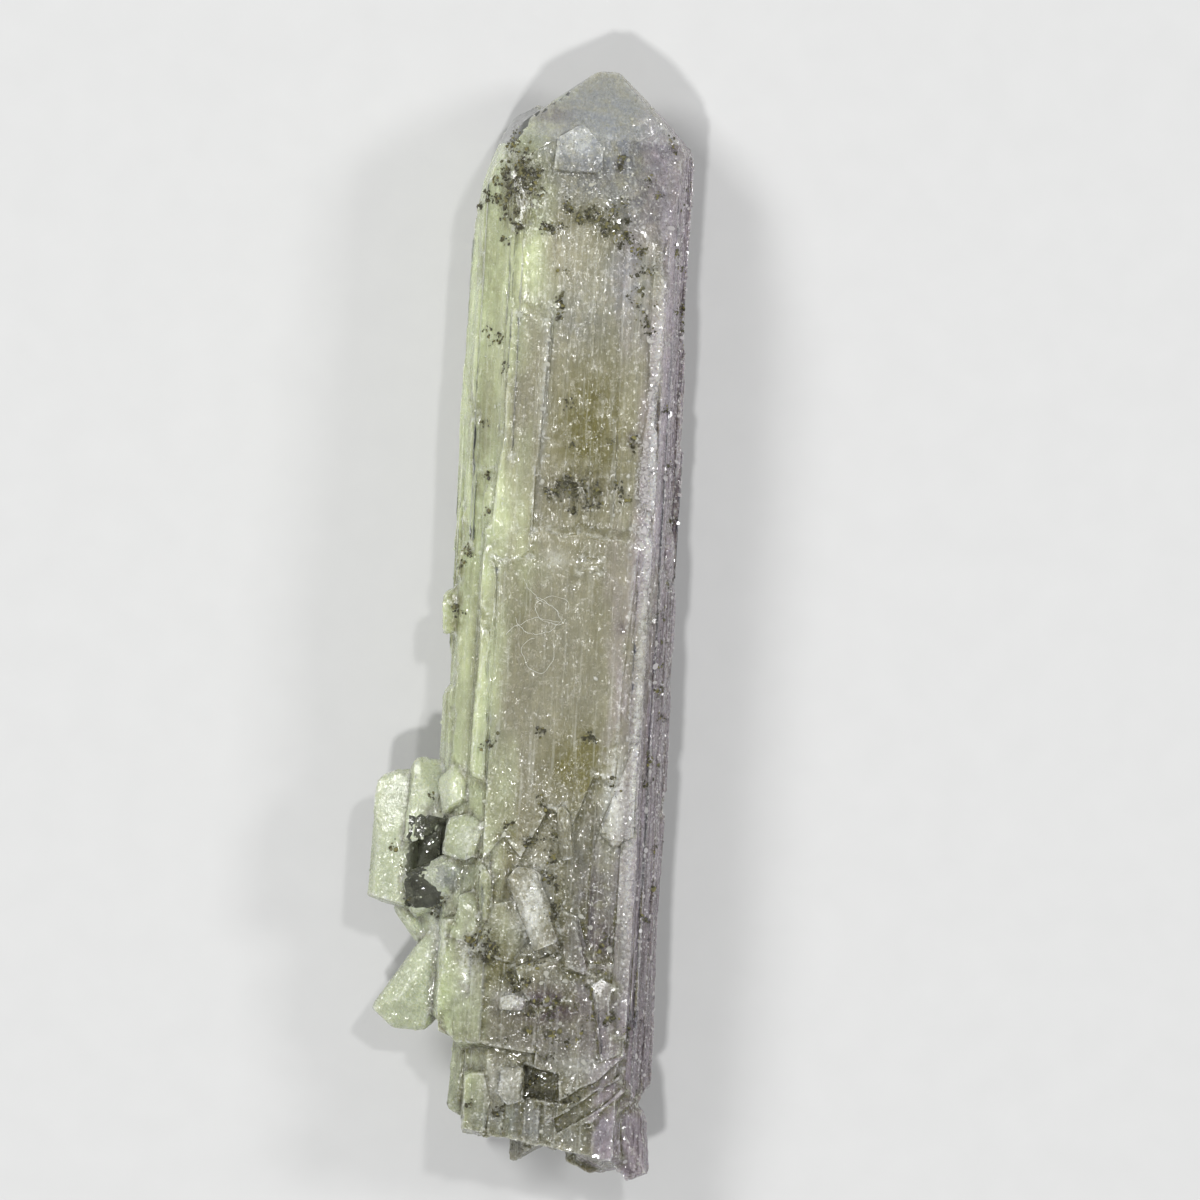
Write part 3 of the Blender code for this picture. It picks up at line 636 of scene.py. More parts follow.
def filled(points):
    """The points with the narrow gaps beside the layers lifted nearly level with the front."""
    places = points / MM
    x, _y, z = places.T
    level = z.copy()
    for box, top in ((SEAM_BOX, SEAM_TOP), (GAP_BOX, GAP_TOP)):
        gap = inside(places, box)
        level[gap] = np.maximum(z[gap], top)
    wall = inside(places, WALL_BOX)
    slope = WALL_TOP - WALL_FALL * (x - WALL_X)
    level[wall] = np.clip(slope[wall], z[wall], z[wall] + WALL_LIFT)
    lifted = points.copy()
    lifted[:, 2] = level * MM
    return lifted


def stretched(point, across, along, start=0.0):
    """A place in a pattern that changes this often across the prism and along it."""
    return Vector((point.x * across, point.y * along, point.z * across + start))


def ribs(point):
    """Fine ribs along the prism, between -1 and 1, that fade in and out along their length."""
    broad = noise.noise(stretched(point, *RIBS))
    fine = noise.noise(stretched(point, *FINE_RIBS))
    return RIB_SHARE * broad + FINE_RIB_SHARE * fine


def terraces(point):
    """Growth steps on the prism faces: flat patches of whole heights with sharp ends."""
    wobble = WOBBLE_SHARE * noise.noise(point * WOBBLE_SCALE)
    height = TERRACE_STEPS * (noise.noise(stretched(point, *TERRACES)) + wobble)
    low = math.floor(height)
    return low + smooth_step(height - low, *TERRACE_EDGE)


def rough_zone(point, normal):
    """How grainy the surface is: most on the right wall, the ridge beside it and the foot."""
    facing = smooth_step(normal.z, *UPWARD_TURN)
    lower = smooth_step(point.y, *LOWER_ZONE) * facing
    right = smooth_step(point.x, *RIGHT_ZONE)
    ridge = smooth_step(abs(point.x - RIDGE_X), *RIDGE_ZONE) * facing
    foot = smooth_step(point.y, *FOOT_ZONE)
    tip = smooth_step(point.y, *TIP_ZONE) * smooth_step(point.x, *TIP_ZONE_X) * facing
    roughest = max(LOWER_ROUGHNESS * lower, RIGHT_ROUGHNESS * right, ridge, foot, TIP_ROUGHNESS * tip)
    return min(1.0, LEAST_ROUGHNESS + ROUGHNESS_RANGE * roughest)


def surface_moves(points, normals, edge_wear_and_highlight, settings):
    """How far each point moves along its normal, and how grainy the surface is there."""
    moves = np.zeros(len(points))
    rough_zones = np.zeros(len(points))
    for index, (place, direction, worn) in enumerate(zip(points / MM, normals, edge_wear_and_highlight)):
        point, normal = Vector(place), Vector(direction)
        wall = 1.0 - smooth_step(abs(normal.y), *WALL_TURN)
        rough = rough_zone(point, normal)
        height = settings.rib_height * wall * ribs(point)
        height += settings.terrace_height * wall * terraces(point)
        fine_grain = FINE_GRAIN_SHARE * noise.noise(point * FINE_GRAIN_SCALE)
        height += settings.grain_height * rough * (noise.noise(point * GRAIN_SCALE) + fine_grain)
        chip = smooth_step(noise.noise(point * CHIP_SCALE), *CHIP_RANGE)
        height -= settings.chip_depth * worn * (LEAST_CHIP + (1 - LEAST_CHIP) * chip)
        moves[index] = height
        rough_zones[index] = rough
    return moves, rough_zones


def new_object(name, data):
    """Puts a mesh, curve, lamp or camera into the scene."""
    obj = bpy.data.objects.new(name, data)
    bpy.context.scene.collection.objects.link(obj)
    return obj


def dress(obj):
    """Hangs the piece on the crystal's body and hides the imported solid."""
    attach(obj, BODY)
    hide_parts(NODE)


def mark_surface(mesh, points, faces, marks):
    """Stores the marks, and how strongly each point of the front lies in the patches."""
    facing = point_normals(points, faces)[:, 2]
    for name, patches in PATCHES.items():
        marks[name] = [
            smooth_step(upward, *FRONT_TURN) * patch_strength(patches, x, y)
            for (x, y, _z), upward in zip(points / MM, facing)]
    for name, values in marks.items():
        mesh.attributes.new(name, "FLOAT", "POINT").data.foreach_set("value", values)


def mark_materials(mesh, points, faces):
    """Gives the half clear facets the second material, and the clear ones the third."""
    places = points[faces].mean(axis=1) / MM
    facing = unit(face_normals(points, faces))[:, 0]
    half_clear = inside(places, SPRAY_BOX) | inside(places, TIP_BOX)
    clear = inside(places, CAP_BOX) & (facing < CAP_FACING)
    clear |= inside(places, DARK_CRYSTAL_BOX)
    chosen = np.where(clear, 2, np.where(half_clear, 1, 0))
    mesh.polygons.foreach_set("material_index", chosen.astype(np.int32))


class CRYSTAL_OT_body(bpy.types.Operator):
    """Makes the crystal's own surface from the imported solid"""

    bl_idname = "danburite.body"
    bl_label = "Crystal Body"

    def execute(self, context):
        settings = context.scene.danburite_body
        points, faces = refine(*merged_copy(), settings)
        edge_wear_and_highlight, crevice = creases(points, faces)
        crevice = spread(crevice, faces, CREVICE_SPREAD)
        resting = points[:, 2] < RESTING_HEIGHT
        soft = softened(filled(points), faces, settings.smoothing)
        points = np.where(resting[:, None], points, soft)
        normals = point_normals(points, faces)
        moves, rough = surface_moves(points, normals, edge_wear_and_highlight, settings)
        moves[resting] = 0.0
        points = np.clip(points + moves[:, None] * normals, *CAD_BOX)
        mesh = bpy.data.meshes.new("crystal_surface")
        mesh.from_pydata(points.tolist(), [], faces.tolist())
        mark_surface(mesh, points, faces, {"edge_wear_and_highlight": edge_wear_and_highlight, "rough_zone": rough, "crevice": crevice})
        for material in (cloudy_material(), half_clear_material(), clear_material()):
            mesh.materials.append(material)
        mark_materials(mesh, points, faces)
        mesh.shade_smooth()
        mesh.set_sharp_from_angle(angle=math.radians(SHARP_ANGLE))
        dress(new_object("crystal_body", mesh))
        return {"FINISHED"}


def surface_tree():
    """A search tree of the finished surface, for finding points on it."""
    mesh = bpy.data.objects["crystal_body"].data
    return BVHTree.FromPolygons(
        [vert.co[:] for vert in mesh.vertices], [face.vertices[:] for face in mesh.polygons])


def front_hit(tree, x, y):
    """The first surface point under a place on the crystal, seen from above, and its normal."""
    place, normal, _index, _distance = tree.ray_cast(
        Vector((x * MM, y * MM, RAY_START)), Vector((0, 0, -1)))
    return place, normal


def random_vector(rng, deviation):
    return Vector((rng.gauss(0, deviation), rng.gauss(0, deviation), rng.gauss(0, deviation)))


def scattered(name, shape, matrices):
    """One mesh with a copy of the shape for every matrix. The shape is freed."""
    shape.verts.index_update()
    corners = np.array([(*vert.co, 1.0) for vert in shape.verts])
    faces = [[vert.index for vert in face.verts] for face in shape.faces]
    shape.free()
    points = np.vstack([corners @ np.array(matrix).T for matrix in matrices])[:, :3]
    mesh = bpy.data.meshes.new(name)
    mesh.from_pydata(points.tolist(), [], [
        [index + copy * len(corners) for index in face]
        for copy in range(len(matrices)) for face in faces])
    return mesh


def grain_matrix(rng, place, normal, mean_size):
    """The seat, turn and proportions of one grain, made from a ball."""
    size = mean_size * rng.lognormvariate(*GRAIN_SIZES)
    seat = Matrix.Translation(place - normal * size * GRAIN_SINK)
    scale = Vector(rng.uniform(*GRAIN_PROPORTIONS) for _axis in range(3)) * size
    turn = Matrix.Rotation(rng.uniform(0, math.tau), 4, random_vector(rng, 1).normalized())
    return seat @ (turn @ Matrix.Diagonal((*scale, 1.0)))


class CRYSTAL_OT_grains(bpy.types.Operator):
    """Scatters the dark grains in the patches where they settled"""

    bl_idname = "danburite.grains"
    bl_label = "Dark Grains"

    def execute(self, context):
        settings = context.scene.danburite_grains
        rng = random.Random(GRAIN_SEED)
        tree = surface_tree()
        across, along = GRAIN_SPREAD
        matrices = []
        for centre_x, centre_y, half_x, half_y, count in GRAIN_PATCHES:
            clumps = [
                (rng.gauss(centre_x, half_x * CLUMP_SPREAD), rng.gauss(centre_y, half_y * CLUMP_SPREAD))
                for _clump in range(max(2, count // CLUMP_GRAINS))]
            for _grain in range(count):
                clump_x, clump_y = rng.choice(clumps)
                place, normal = front_hit(tree, rng.gauss(clump_x, across), rng.gauss(clump_y, along))
                if place is not None:
                    matrices.append(grain_matrix(rng, place, normal, settings.grain_size))
        ball = bmesh.new()
        bmesh.ops.create_icosphere(ball, subdivisions=1, radius=1.0)
        mesh = scattered("dark_grains", ball, matrices)
        mesh.materials.append(grain_material())
        dress(new_object("dark_grains", mesh))
        return {"FINISHED"}


def worn_seats(rng, count):
    """Places and normals at random points of the surface, mostly on worn edges and rough zones."""
    mesh = bpy.data.objects["crystal_body"].data
    edge_wear_and_highlight = [item.value for item in mesh.attributes["edge_wear_and_highlight"].data]
    rough = [item.value for item in mesh.attributes["rough_zone"].data]
    weights = [
        PLAIN_CHANCE + WORN_CHANCE * worn + ROUGH_CHANCE * max(0.0, grainy - ROUGH_START) ** 2
        for worn, grainy in zip(edge_wear_and_highlight, rough)]
    seats = []
    taken = {}
    for index in rng.choices(range(len(weights)), weights=weights, k=count):
        vert = mesh.vertices[index]
        cell = tuple(round(value / FLAKE_CELL) for value in vert.co)
        taken[cell] = taken.get(cell, 0) + 1
        if vert.co.z > FLAKE_FLOOR and taken[cell] <= FLAKES_PER_CELL:
            seats.append((vert.co.copy(), vert.normal.copy()))
    return seats


def patch_seats(rng):
    """Places and normals in the patches of glittering flakes."""
    tree = surface_tree()
    seats = []
    for centre_x, centre_y, half_x, half_y, count in FLAKE_PATCHES:
        for _flake in range(count):
            x = rng.gauss(centre_x, half_x * FLAKE_SPREAD)
            y = rng.gauss(centre_y, half_y * FLAKE_SPREAD)
            place, normal = front_hit(tree, x, y)
            if place is not None:
                seats.append((place, normal))
    return seats


def flake_matrix(rng, seat, normal, mean_size):
    """The seat, turn and proportions of one flake, which leans a little."""
    size = mean_size * rng.lognormvariate(*FLAKE_SIZES)
    axis = (normal + random_vector(rng, FLAKE_LEAN)).normalized()
    turn = axis.to_track_quat("Z", "Y").to_matrix().to_4x4()
    turn = turn @ Matrix.Rotation(rng.uniform(0, math.tau), 4, "Z")
    width = size * rng.uniform(*FLAKE_WIDTHS)
    height = size * rng.uniform(*FLAKE_HEIGHTS)
    place = Matrix.Translation(seat - normal * size * FLAKE_SINK)
    return place @ turn @ Matrix.Diagonal((size, width, height, 1.0))


class CRYSTAL_OT_flakes(bpy.types.Operator):
    """Scatters small glassy flakes on the worn edges, the rough zones and their patches"""

    bl_idname = "danburite.flakes"
    bl_label = "Glassy Flakes"

    def execute(self, context):
        settings = context.scene.danburite_grains
        rng = random.Random(FLAKE_SEED)
        seats = worn_seats(rng, settings.flake_count) + patch_seats(rng)
        matrices = [flake_matrix(rng, seat, normal, settings.flake_size) for seat, normal in seats]
        tablet = bmesh.new()
        bmesh.ops.create_cone(
            tablet, cap_ends=True, segments=6, radius1=1.0, radius2=0.75, depth=1.4)
        flakes = scattered("glassy_flakes", tablet, matrices)
        flakes.materials.append(flake_material())
        dress(new_object("glassy_flakes", flakes))
        return {"FINISHED"}


def thread_points(tree, start_x, start_y, length, direction, turn):
    """Points along one thread, which curls and wavers as it lies on the surface."""
    points = []
    x, y = start_x, start_y
    for step in range(THREAD_STEPS + 1):
        place, normal = front_hit(tree, x, y)
        points.append(place + normal * THREAD_LIFT * MM)
        waver = WAVER * math.sin(step * WAVER_PACE + start_x * WAVER_START)
        waver *= math.sin(step * SLOW_WAVER_PACE + start_y)
        heading = math.radians(direction + turn * step / THREAD_STEPS + waver)
        x += math.cos(heading) * length / THREAD_STEPS
        y += math.sin(heading) * length / THREAD_STEPS
    return points


class CRYSTAL_OT_threads(bpy.types.Operator):
    """Lays the fine white threads on the lower front face"""

    bl_idname = "danburite.threads"
    bl_label = "White Threads"

    def execute(self, context):
        tree = surface_tree()
        curve = bpy.data.curves.new("threads", "CURVE")
        curve.dimensions = "3D"
        curve.bevel_depth = THREAD_RADIUS * MM
        curve.bevel_resolution = 1
        curve.use_fill_caps = True
        for thread in THREADS:
            points = thread_points(tree, *thread)
            spline = curve.splines.new("POLY")
            spline.points.add(len(points) - 1)
            for target, point in zip(spline.points, points):
                target.co = (*point, 1.0)
        carrier = new_object("threads_curve", curve)
        graph = context.evaluated_depsgraph_get()
        mesh = bpy.data.meshes.new_from_object(carrier.evaluated_get(graph))
        bpy.data.objects.remove(carrier)
        bm = bmesh.new()
        bm.from_mesh(mesh)
        bmesh.ops.remove_doubles(bm, verts=bm.verts[:], dist=2 * MERGE_DISTANCE)
        bm.to_mesh(mesh)
        bm.free()
        mesh.name = "white_threads"
        mesh.shade_smooth()
        mesh.materials.clear()
        mesh.materials.append(thread_material())
        dress(new_object("white_threads", mesh))
        return {"FINISHED"}


def new_material(name):
    """A new material, its node tree and its Principled shader."""
    material = bpy.data.materials.new(name)
    material.use_nodes = True
    return material, material.node_tree, material.node_tree.nodes["Principled BSDF"]


def set_inputs(tree, node, inputs):
    """Gives inputs, by name or number, a link from another node or a plain value."""
    for key, value in inputs.items():
        socket = node.inputs[key]
        if isinstance(value, bpy.types.NodeSocket):
            tree.links.new(value, socket)
        elif socket.type == "RGBA":
            socket.default_value = (*value[:3], 1.0)
        else:
            socket.default_value = value


def add_node(tree, kind, inputs, **properties):
    """A new node with these properties and inputs."""
    node = tree.nodes.new(kind)
    for key, value in properties.items():
        setattr(node, key, value)
    set_inputs(tree, node, inputs)
    return node


def math_node(tree, operation, first, second, clamp=False):
    return add_node(
        tree, "ShaderNodeMath", {0: first, 1: second}, operation=operation, use_clamp=clamp).outputs[0]


def vector_node(tree, operation, first, second):
    """The outputs of a vector sum. The second input of a scaling is its number."""
    key = "Scale" if operation == "SCALE" else 1
    return add_node(
        tree, "ShaderNodeVectorMath", {0: first, key: second}, operation=operation).outputs


def remap(tree, value, given, wanted=(0.0, 1.0)):
    """The value moved from the given range to the wanted one, and kept inside it."""
    return add_node(tree, "ShaderNodeMapRange", {
        "Value": value, "From Min": given[0], "From Max": given[1],
        "To Min": wanted[0], "To Max": wanted[1]}).outputs["Result"]


def mix_colour(tree, factor, first, second):
    return add_node(
        tree, "ShaderNodeMix", {MIX_FACTOR: factor, MIX_FIRST: first, MIX_SECOND: second},
        data_type="RGBA", clamp_factor=True).outputs[MIX_RESULT]


def crystal_space(tree, across=1.0, along=1.0):
    """Object coordinates in millimetres, multiplied across the prism and along it."""
    coordinates = add_node(tree, "ShaderNodeTexCoord", {}).outputs["Object"]
    scale = (across / MM, along / MM, across / MM)
    return add_node(
        tree, "ShaderNodeMapping", {"Vector": coordinates, "Scale": scale}).outputs["Vector"]


def space_axis(tree, vector, axis):
    return add_node(tree, "ShaderNodeSeparateXYZ", {0: vector}).outputs[axis]


def noise_value(tree, vector, scale=1.0, detail=2.0, roughness=0.5, distortion=0.0):
    return add_node(tree, "ShaderNodeTexNoise", {
        "Vector": vector, "Scale": scale, "Detail": detail, "Roughness": roughness,
        "Distortion": distortion}).outputs["Fac"]


def attribute_value(tree, name):
    return add_node(tree, "ShaderNodeAttribute", {}, attribute_name=name).outputs["Fac"]


def new_group(name, inputs, outputs, fill):
    """A node group. Its fill function makes the nodes and returns what the outputs are fed."""
    group = bpy.data.node_groups.new(name, "ShaderNodeTree")
    for label, default in inputs.items():
        kind = "NodeSocketFloat" if isinstance(default, float) else "NodeSocketColor"
        socket = group.interface.new_socket(label, in_out="INPUT", socket_type=kind)
        socket.default_value = default
    for label in outputs:
        kind = "NodeSocketColor" if label == "Color" else "NodeSocketFloat"
        group.interface.new_socket(label, in_out="OUTPUT", socket_type=kind)
    given = group.nodes.new("NodeGroupInput").outputs
    set_inputs(group, group.nodes.new("NodeGroupOutput"), fill(group, given))
    return group


def group_node(tree, name, inputs):
    """The outputs of a node group in this tree. The group is built the first time it is asked for."""
    group = bpy.data.node_groups.get(name) or new_group(name, *NODE_GROUPS[name])
    return add_node(tree, "ShaderNodeGroup", inputs, node_tree=group).outputs


def etched_facets(group, given):
    """Heights of tiny facets, each a flat cell with a tilt of its own, and a random number each."""
    space = crystal_space(group)
    density = math_node(group, "DIVIDE", 1.0, given["Size"])
    cells = add_node(group, "ShaderNodeTexVoronoi", {"Vector": space, "Scale": density}).outputs
    from_middle = vector_node(group, "SUBTRACT", space, cells["Position"])["Vector"]
    place_in_cell = vector_node(group, "SCALE", from_middle, density)["Vector"]
    tilt = vector_node(group, "SUBTRACT", cells["Color"], (0.5, 0.5, 0.5))["Vector"]
    height = vector_node(group, "DOT_PRODUCT", place_in_cell, tilt)["Value"]
    split = add_node(group, "ShaderNodeSeparateColor", {"Color": cells["Color"]})
    return {"Height": height, "Random": split.outputs["Red"]}


def growth_lines(group, given):
    """Fine lines along the prism, as a value about one half."""
    space = crystal_space(group, along=0.035)
    return {"Lines": noise_value(group, space, scale=given["Fineness"], detail=3.0, roughness=0.6)}


def crystal_tint(group, given):
    """The crystal's colour from its left wall to its right one, clouded, and paler above. The shift from
    left to right is partly the crystal's own tone and partly painted light: greenish light on the lit
    left side, lilac light and deeper shade on the right side.
    """
    space = crystal_space(group)
    wander = noise_value(group, crystal_space(group, across=0.5, along=0.12))
    wander = remap(group, wander, (0.2, 0.8), (-2.2, 2.2))
    place = math_node(group, "ADD", space_axis(group, space, "X"), wander)
    to_middle = remap(group, place, (-4.4, 0.0))
    to_right = remap(group, place, (4.4, 7.2))
    colour = mix_colour(group, to_middle, given["Left"], given["Middle"])
    colour = mix_colour(group, to_right, colour, given["Right"])
    clouds = noise_value(
        group, crystal_space(group, across=0.42, along=0.2), detail=4.0, roughness=0.55, distortion=0.4)
    fine = noise_value(
        group, crystal_space(group, across=3.0, along=1.2), detail=4.0, roughness=0.7)
    shade = math_node(group, "MULTIPLY", remap(group, clouds, (0.25, 0.75), (0.74, 1.18)),
                      remap(group, fine, (0.25, 0.75), (0.84, 1.12)))
    height = remap(group, space_axis(group, space, "Y"), (20.0, -12.0), (1.10, 0.82))
    shade = math_node(group, "MULTIPLY", shade, height)
    return {"Color": vector_node(group, "SCALE", colour, shade)["Vector"]}


def masked(tree, name, pattern, given, most=1.0):
    """A mark on the surface broken up by a pattern, which begins and is full at the given values."""
    share = remap(tree, pattern, given, (0.0, most))
    return math_node(tree, "MULTIPLY", attribute_value(tree, name), share, clamp=True)


def layered(tree, colour, layers, patterns, colours):
    """The colour with each layer laid over it in turn."""
    for mark, pattern, low, high, most, label in layers:
        if mark:
            share = masked(tree, mark, patterns[pattern], (low, high), most)
        else:
            share = remap(tree, patterns[pattern], (low, high), (0.0, most))
        colour = mix_colour(tree, share, colour, colours[label])
    return colour


def crystal_surface(group, given):
    """The whole surface colour and its roughness: tint partly of painted light, stains, dust, painted
    shade, milk-white patches and worn edges partly of painted highlight, and lines.
    """
    space = crystal_space(group)
    soft = noise_value(group, space, scale=1.3, detail=4.0, roughness=0.62)
    fine = noise_value(group, space, scale=3.4, detail=4.0, roughness=0.65)
    dust = noise_value(group, space, scale=7.5, detail=3.0, roughness=0.7)
    lines = group_node(group, "Growth Lines", {"Fineness": 5.0})["Lines"]
    flecks = group_node(group, "Etched Facets", {"Size": FINE_FACET})["Random"]
    patterns = {"soft": soft, "fine": fine, "dust": dust, "lines": lines, "flecks": flecks}
    tint = group_node(group, "Crystal Tint", {label: given[label] for label in TINT_LABELS})
    colour = layered(group, tint["Color"], UNDER_LAYERS, patterns, given)

    # Grime colour and painted shade in the inward creases, stronger towards the lower end.
    lower = remap(group, space_axis(group, space, "Y"), (-6.0, -13.0), (0.4, 1.0))
    crease_dirt_and_shade = math_node(group, "MULTIPLY", masked(group, "crevice", soft, (0.30, 0.54)), lower)
    crease_dirt_and_shade_colour = mix_colour(group, remap(group, fine, (0.45, 0.6)), given["Olive"], given["Ochre"])
    colour = mix_colour(group, crease_dirt_and_shade, colour, crease_dirt_and_shade_colour)
    # Painted shade on the right wall, in streaks along the growth lines.
    wall = remap(group, space_axis(group, space, "X"), (7.1, 7.9), (0.0, 0.75))
    streaks = math_node(group, "MULTIPLY", wall, remap(group, lines, (0.52, 0.40)))
    colour = mix_colour(group, streaks, colour, given["Shadow"])
    colour = layered(group, colour, UPPER_LAYERS, patterns, given)

    polish = noise_value(group, space, scale=2.4, detail=3.0)
    polish = remap(group, polish, (0.3, 0.7), (0.07, 0.28))
    glint = remap(group, attribute_value(group, "rough_zone"), (0.2, 0.8), (1.0, 0.6))
    polish = math_node(group, "MULTIPLY", polish, glint)
    varied = math_node(group, "MULTIPLY", polish, remap(group, flecks, (0.0, 1.0), (1.5, 0.5)))
    return {"Color": colour, "Roughness": varied}


# Each node group's inputs with their defaults, its outputs, and the function that fills it.
NODE_GROUPS = {
    "Etched Facets": ({"Size": FLAKE_FACET}, ("Height", "Random"), etched_facets),
    "Growth Lines": ({"Fineness": 4.0}, ("Lines",), growth_lines),
    "Crystal Tint": (dict.fromkeys(TINT_LABELS, WHITE), ("Color",), crystal_tint),
    "Crystal Surface": (
        dict.fromkeys(COLOUR_LABELS, WHITE), ("Color", "Roughness"), crystal_surface),
}


def in_colours(tree, name, labels):
    """The outputs of a node group that is given the crystal's colours of these labels."""
    colours = bpy.context.scene.danburite_colours
    return group_node(tree, name, {label: getattr(colours, label.lower()) for label in labels})


def bump(tree, height, distance, normal=None):
    """The normal after a relief of this height, whose distance is in millimetres."""
    inputs = {"Height": height, "Distance": distance * MM}
    if normal is not None:
        inputs["Normal"] = normal
    return add_node(tree, "ShaderNodeBump", inputs).outputs["Normal"]


def crystal_normal(tree, facet_distance, line_distance):
    """Growth lines and two sizes of etched facets, which are highest where the surface is rough."""
    lines = group_node(tree, "Growth Lines", {"Fineness": 4.0})["Lines"]
    coarse = group_node(tree, "Etched Facets", {"Size": COARSE_FACET})["Height"]
    fine = group_node(tree, "Etched Facets", {"Size": FINE_FACET})["Height"]
    roughness = remap(tree, attribute_value(tree, "rough_zone"), (0.05, 0.8), (0.10, 1.0))
    coarse = math_node(tree, "MULTIPLY", coarse, roughness)
    fine = math_node(tree, "MULTIPLY", fine, roughness)
    normal = bump(tree, lines, line_distance)
    normal = bump(tree, coarse, facet_distance, normal)
    return bump(tree, fine, FINE_FACET_SHARE * facet_distance, normal)


def glassy(tree, shader, transmission, radius=0.0, glaze=0.35):
    """Sets what is the same all over a crystal. radius is how far light wanders inside, in mm."""
    set_inputs(tree, shader, {
        "IOR": REFRACTION, "Coat IOR": REFRACTION, "Coat Weight": glaze,
        "Coat Roughness": GLAZE_ROUGHNESS, "Transmission Weight": transmission})
    if radius:
        set_inputs(tree, shader, {
            "Subsurface Weight": 1.0, "Subsurface Radius": WANDER, "Subsurface Scale": radius * MM})


def cloudy_material():
    """Milky danburite: soft light inside, a glassy and finely etched skin."""
    material, tree, shader = new_material("cloudy_danburite")
    look = in_colours(tree, "Crystal Surface", COLOUR_LABELS)
    set_inputs(tree, shader, {
        "Base Color": look["Color"], "Roughness": look["Roughness"],
        "Normal": crystal_normal(tree, facet_distance=0.48, line_distance=0.10)})
    glassy(tree, shader, transmission=0.10, radius=1.2)
    return material


def half_clear_material():
    """The thin side crystals and the tip: half milk, half glass."""
    material, tree, shader = new_material("half_clear_danburite")
    look = in_colours(tree, "Crystal Surface", COLOUR_LABELS)
    milk = bpy.context.scene.danburite_colours.milk
    set_inputs(tree, shader, {
        "Base Color": mix_colour(tree, HALF_CLEAR_MILK, look["Color"], milk),
        "Roughness": math_node(tree, "MULTIPLY", look["Roughness"], HALF_CLEAR_DULLING),
        "Normal": crystal_normal(tree, facet_distance=0.22, line_distance=0.05)})
    glassy(tree, shader, transmission=0.25, radius=1.2, glaze=0.1)
    return material


def clear_material():
    """The clear cap beside the tip and the dark crystal behind the spray: nearly plain glass. The dark
    crystal's colour is painted shade seen through it.
    """
    material, tree, shader = new_material("clear_danburite")
    space = crystal_space(tree)
    clouds = noise_value(tree, space, scale=1.1, detail=3.0, roughness=0.6)
    cloudiness = remap(tree, clouds, (0.4, 0.7))
    pale = mix_colour(tree, cloudiness, CAP_COLOUR, CAP_CLOUD)
    dark = mix_colour(tree, cloudiness, DARK_COLOUR, DARK_CLOUD)
    upper = remap(tree, space_axis(tree, space, "Y"), (0.0, 10.0))
    set_inputs(tree, shader, {
        "Base Color": mix_colour(tree, upper, dark, pale),
        "Roughness": remap(tree, clouds, (0.3, 0.7), (0.02, 0.16)),
        "Normal": crystal_normal(tree, facet_distance=0.12, line_distance=0.03)})
    glassy(tree, shader, transmission=0.85)
    return material


def grain_material():
    """Green-black grains, some of them brown, with a dull sparkle."""
    material, tree, shader = new_material("dark_grain")
    colours = bpy.context.scene.danburite_colours
    facets = group_node(tree, "Etched Facets", {"Size": GRAIN_FACET})
    colour = mix_colour(tree, remap(tree, facets["Random"], (0.4, 0.8)), colours.grain, colours.olive)
    set_inputs(tree, shader, {
        "Base Color": mix_colour(
            tree, remap(tree, facets["Random"], (0.74, 0.92)), colour, colours.ochre),
        "Roughness": remap(tree, facets["Random"], (0.0, 1.0), (0.3, 0.7)),
        "Normal": bump(tree, facets["Height"], 0.05)})
    return material


def flake_material():
    """The small flakes: bright glass that picks up the crystal's tint, whitened partly as painted glints.
    """
    material, tree, shader = new_material("glassy_flake")
    tint = in_colours(tree, "Crystal Tint", TINT_LABELS)["Color"]
    milk = bpy.context.scene.danburite_colours.milk
    facets = group_node(tree, "Etched Facets", {"Size": FLAKE_FACET})
    set_inputs(tree, shader, {
        # The milk partly paints the flakes' glints.
        "Base Color": mix_colour(tree, FLAKE_MILK, tint, milk),
        "Roughness": remap(tree, facets["Random"], (0.0, 1.0), (0.04, 0.22))})
    glassy(tree, shader, transmission=0.30)
    return material


def thread_material():
    """Silky white threads."""
    material, tree, shader = new_material("white_thread")
    colours = bpy.context.scene.danburite_colours
    fibre = noise_value(tree, crystal_space(tree), scale=6.0)
    greyness = remap(tree, fibre, (0.3, 0.7), (0.0, 0.6))
    set_inputs(tree, shader, {
        "Base Color": mix_colour(tree, greyness, colours.milk, colours.middle),
        "Roughness": remap(tree, fibre, (0.3, 0.7), (0.2, 0.45))})
    return material


def floor_material():
    """Pale paper."""
    material, tree, shader = new_material("pale_floor")
    paper = noise_value(tree, crystal_space(tree), scale=0.4)
    set_inputs(tree, shader, {
        "Base Color": mix_colour(tree, paper, FLOOR_DARK, FLOOR_PALE),
        "Roughness": remap(tree, paper, (0.0, 1.0), (0.75, 0.85))})
    return material


def make_floor(side):
    """The square floor of the stage."""
    bm = bmesh.new()
    bmesh.ops.create_grid(bm, x_segments=1, y_segments=1, size=side / 2)
    mesh = bpy.data.meshes.new("floor")
    bm.to_mesh(mesh)
    bm.free()
    mesh.materials.append(floor_material())
    new_object("floor", mesh)


def make_lights(scene):
    """The dim room and the lamps."""
    scene.world = bpy.data.worlds.new("soft_room")
    scene.world.use_nodes = True
    background = scene.world.node_tree.nodes["Background"]
    background.inputs["Color"].default_value = (*ROOM_COLOUR, 1.0)
    background.inputs["Strength"].default_value = ROOM_STRENGTH
    for name, place, size, power in LIGHTS:
        light = bpy.data.lights.new(name, "AREA")
        light.size = size
        light.energy = power
        lamp = new_object(name, light)
        lamp.location = place
        lamp.rotation_euler = (Vector(place) - LIGHT_TARGET).to_track_quat("Z", "Y").to_euler()


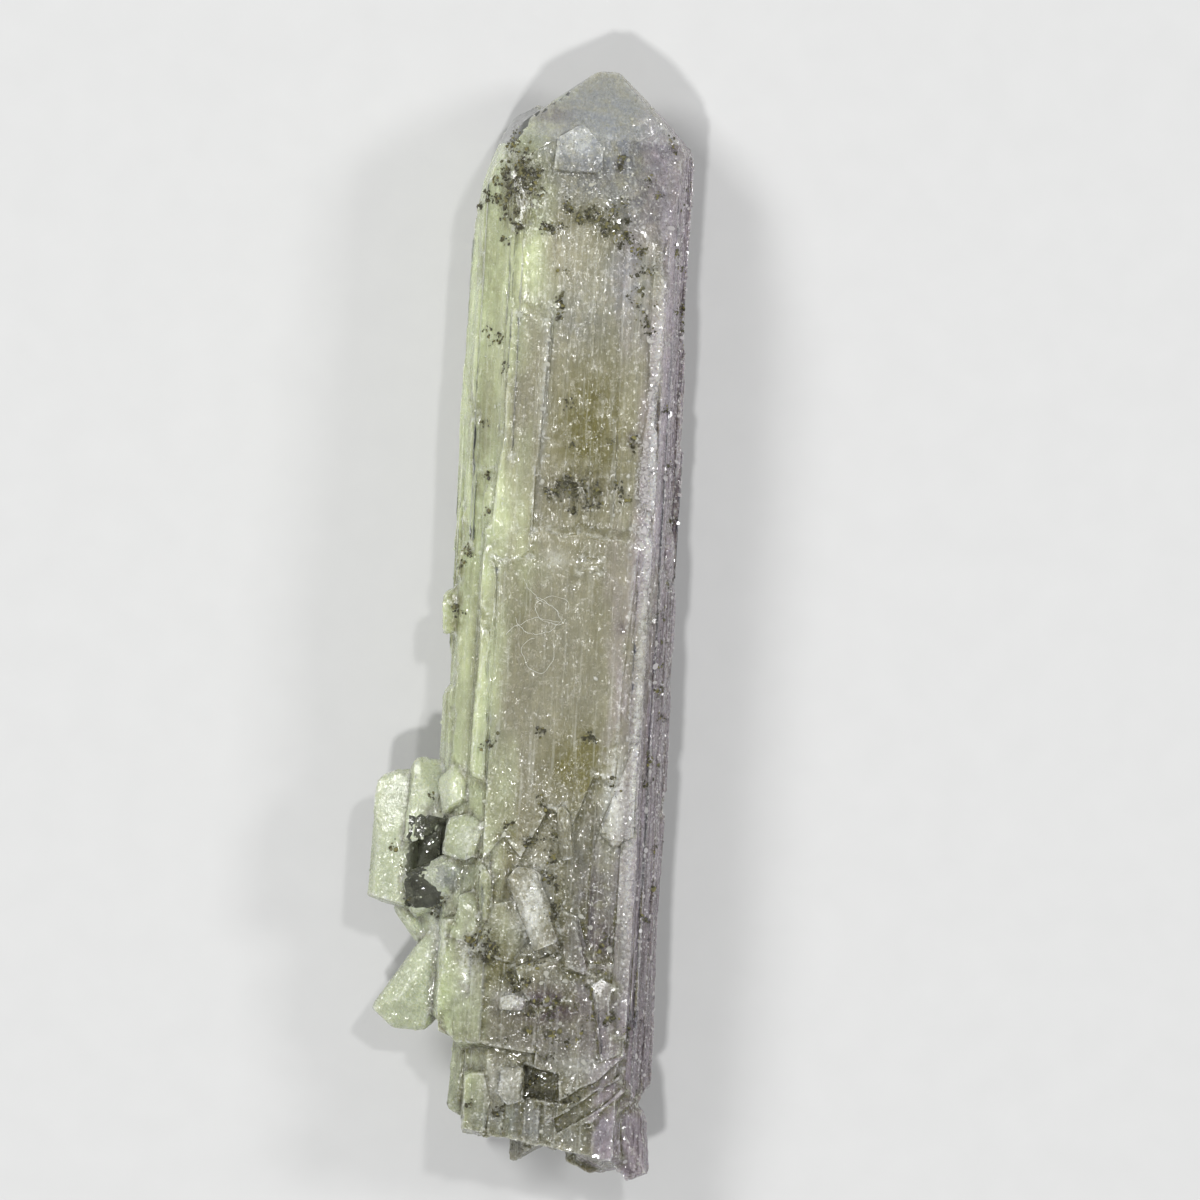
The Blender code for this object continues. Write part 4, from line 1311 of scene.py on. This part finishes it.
def make_camera(scene, distance, view_width):
    """The camera above the crystal, turned as the photograph is."""
    camera = bpy.data.cameras.new("camera")
    camera.sensor_width = 36.0
    camera.lens = camera.sensor_width * distance / view_width
    camera.clip_start = 0.01
    camera.clip_end = 20.0
    scene.camera = new_object("camera", camera)
    scene.camera.location = (VIEW_X * MM, VIEW_Y * MM, VIEW_Z * MM + distance)
    scene.camera.rotation_euler = (0.0, 0.0, math.radians(VIEW_LEAN))


class CRYSTAL_OT_stage(bpy.types.Operator):
    """Sets the pale floor, the soft light and the camera that looks down on the crystal"""

    bl_idname = "danburite.stage"
    bl_label = "Stage"

    def execute(self, context):
        settings = context.scene.danburite_stage
        make_floor(settings.floor_size)
        make_lights(context.scene)
        make_camera(context.scene, settings.camera_distance, settings.view_width)
        context.scene.view_settings.view_transform = "Standard"
        return {"FINISHED"}


GROUPS = {
    "danburite_body": BodySettings,
    "danburite_colours": ColourSettings,
    "danburite_grains": GrainSettings,
    "danburite_stage": StageSettings,
}
OPERATORS = (
    CRYSTAL_OT_body, CRYSTAL_OT_grains, CRYSTAL_OT_flakes, CRYSTAL_OT_threads, CRYSTAL_OT_stage,
)


class CRYSTAL_PT_panel(bpy.types.Panel):
    """Lists what the crystal is made of"""

    bl_label = "Danburite"
    bl_idname = "CRYSTAL_PT_panel"
    bl_space_type = "VIEW_3D"
    bl_region_type = "UI"
    bl_category = "Danburite"

    def draw(self, context):
        for name in GROUPS:
            box = self.layout.box()
            settings = getattr(context.scene, name)
            for key in settings.bl_rna.properties.keys():
                if key not in ("rna_type", "name"):
                    box.prop(settings, key)
        for operator in OPERATORS:
            self.layout.operator(operator.bl_idname)


def register():
    for name, group in GROUPS.items():
        bpy.utils.register_class(group)
        setattr(bpy.types.Scene, name, PointerProperty(type=group))
    for item in (*OPERATORS, CRYSTAL_PT_panel):
        bpy.utils.register_class(item)


def unregister():
    for item in (CRYSTAL_PT_panel, *reversed(OPERATORS)):
        bpy.utils.unregister_class(item)
    for name, group in GROUPS.items():
        delattr(bpy.types.Scene, name)
        bpy.utils.unregister_class(group)


def main():
    register()
    bpy.ops.danburite.body()
    bpy.ops.danburite.grains()
    bpy.ops.danburite.flakes()
    bpy.ops.danburite.threads()
    bpy.ops.danburite.stage()


if __name__ == "__main__":
    main()
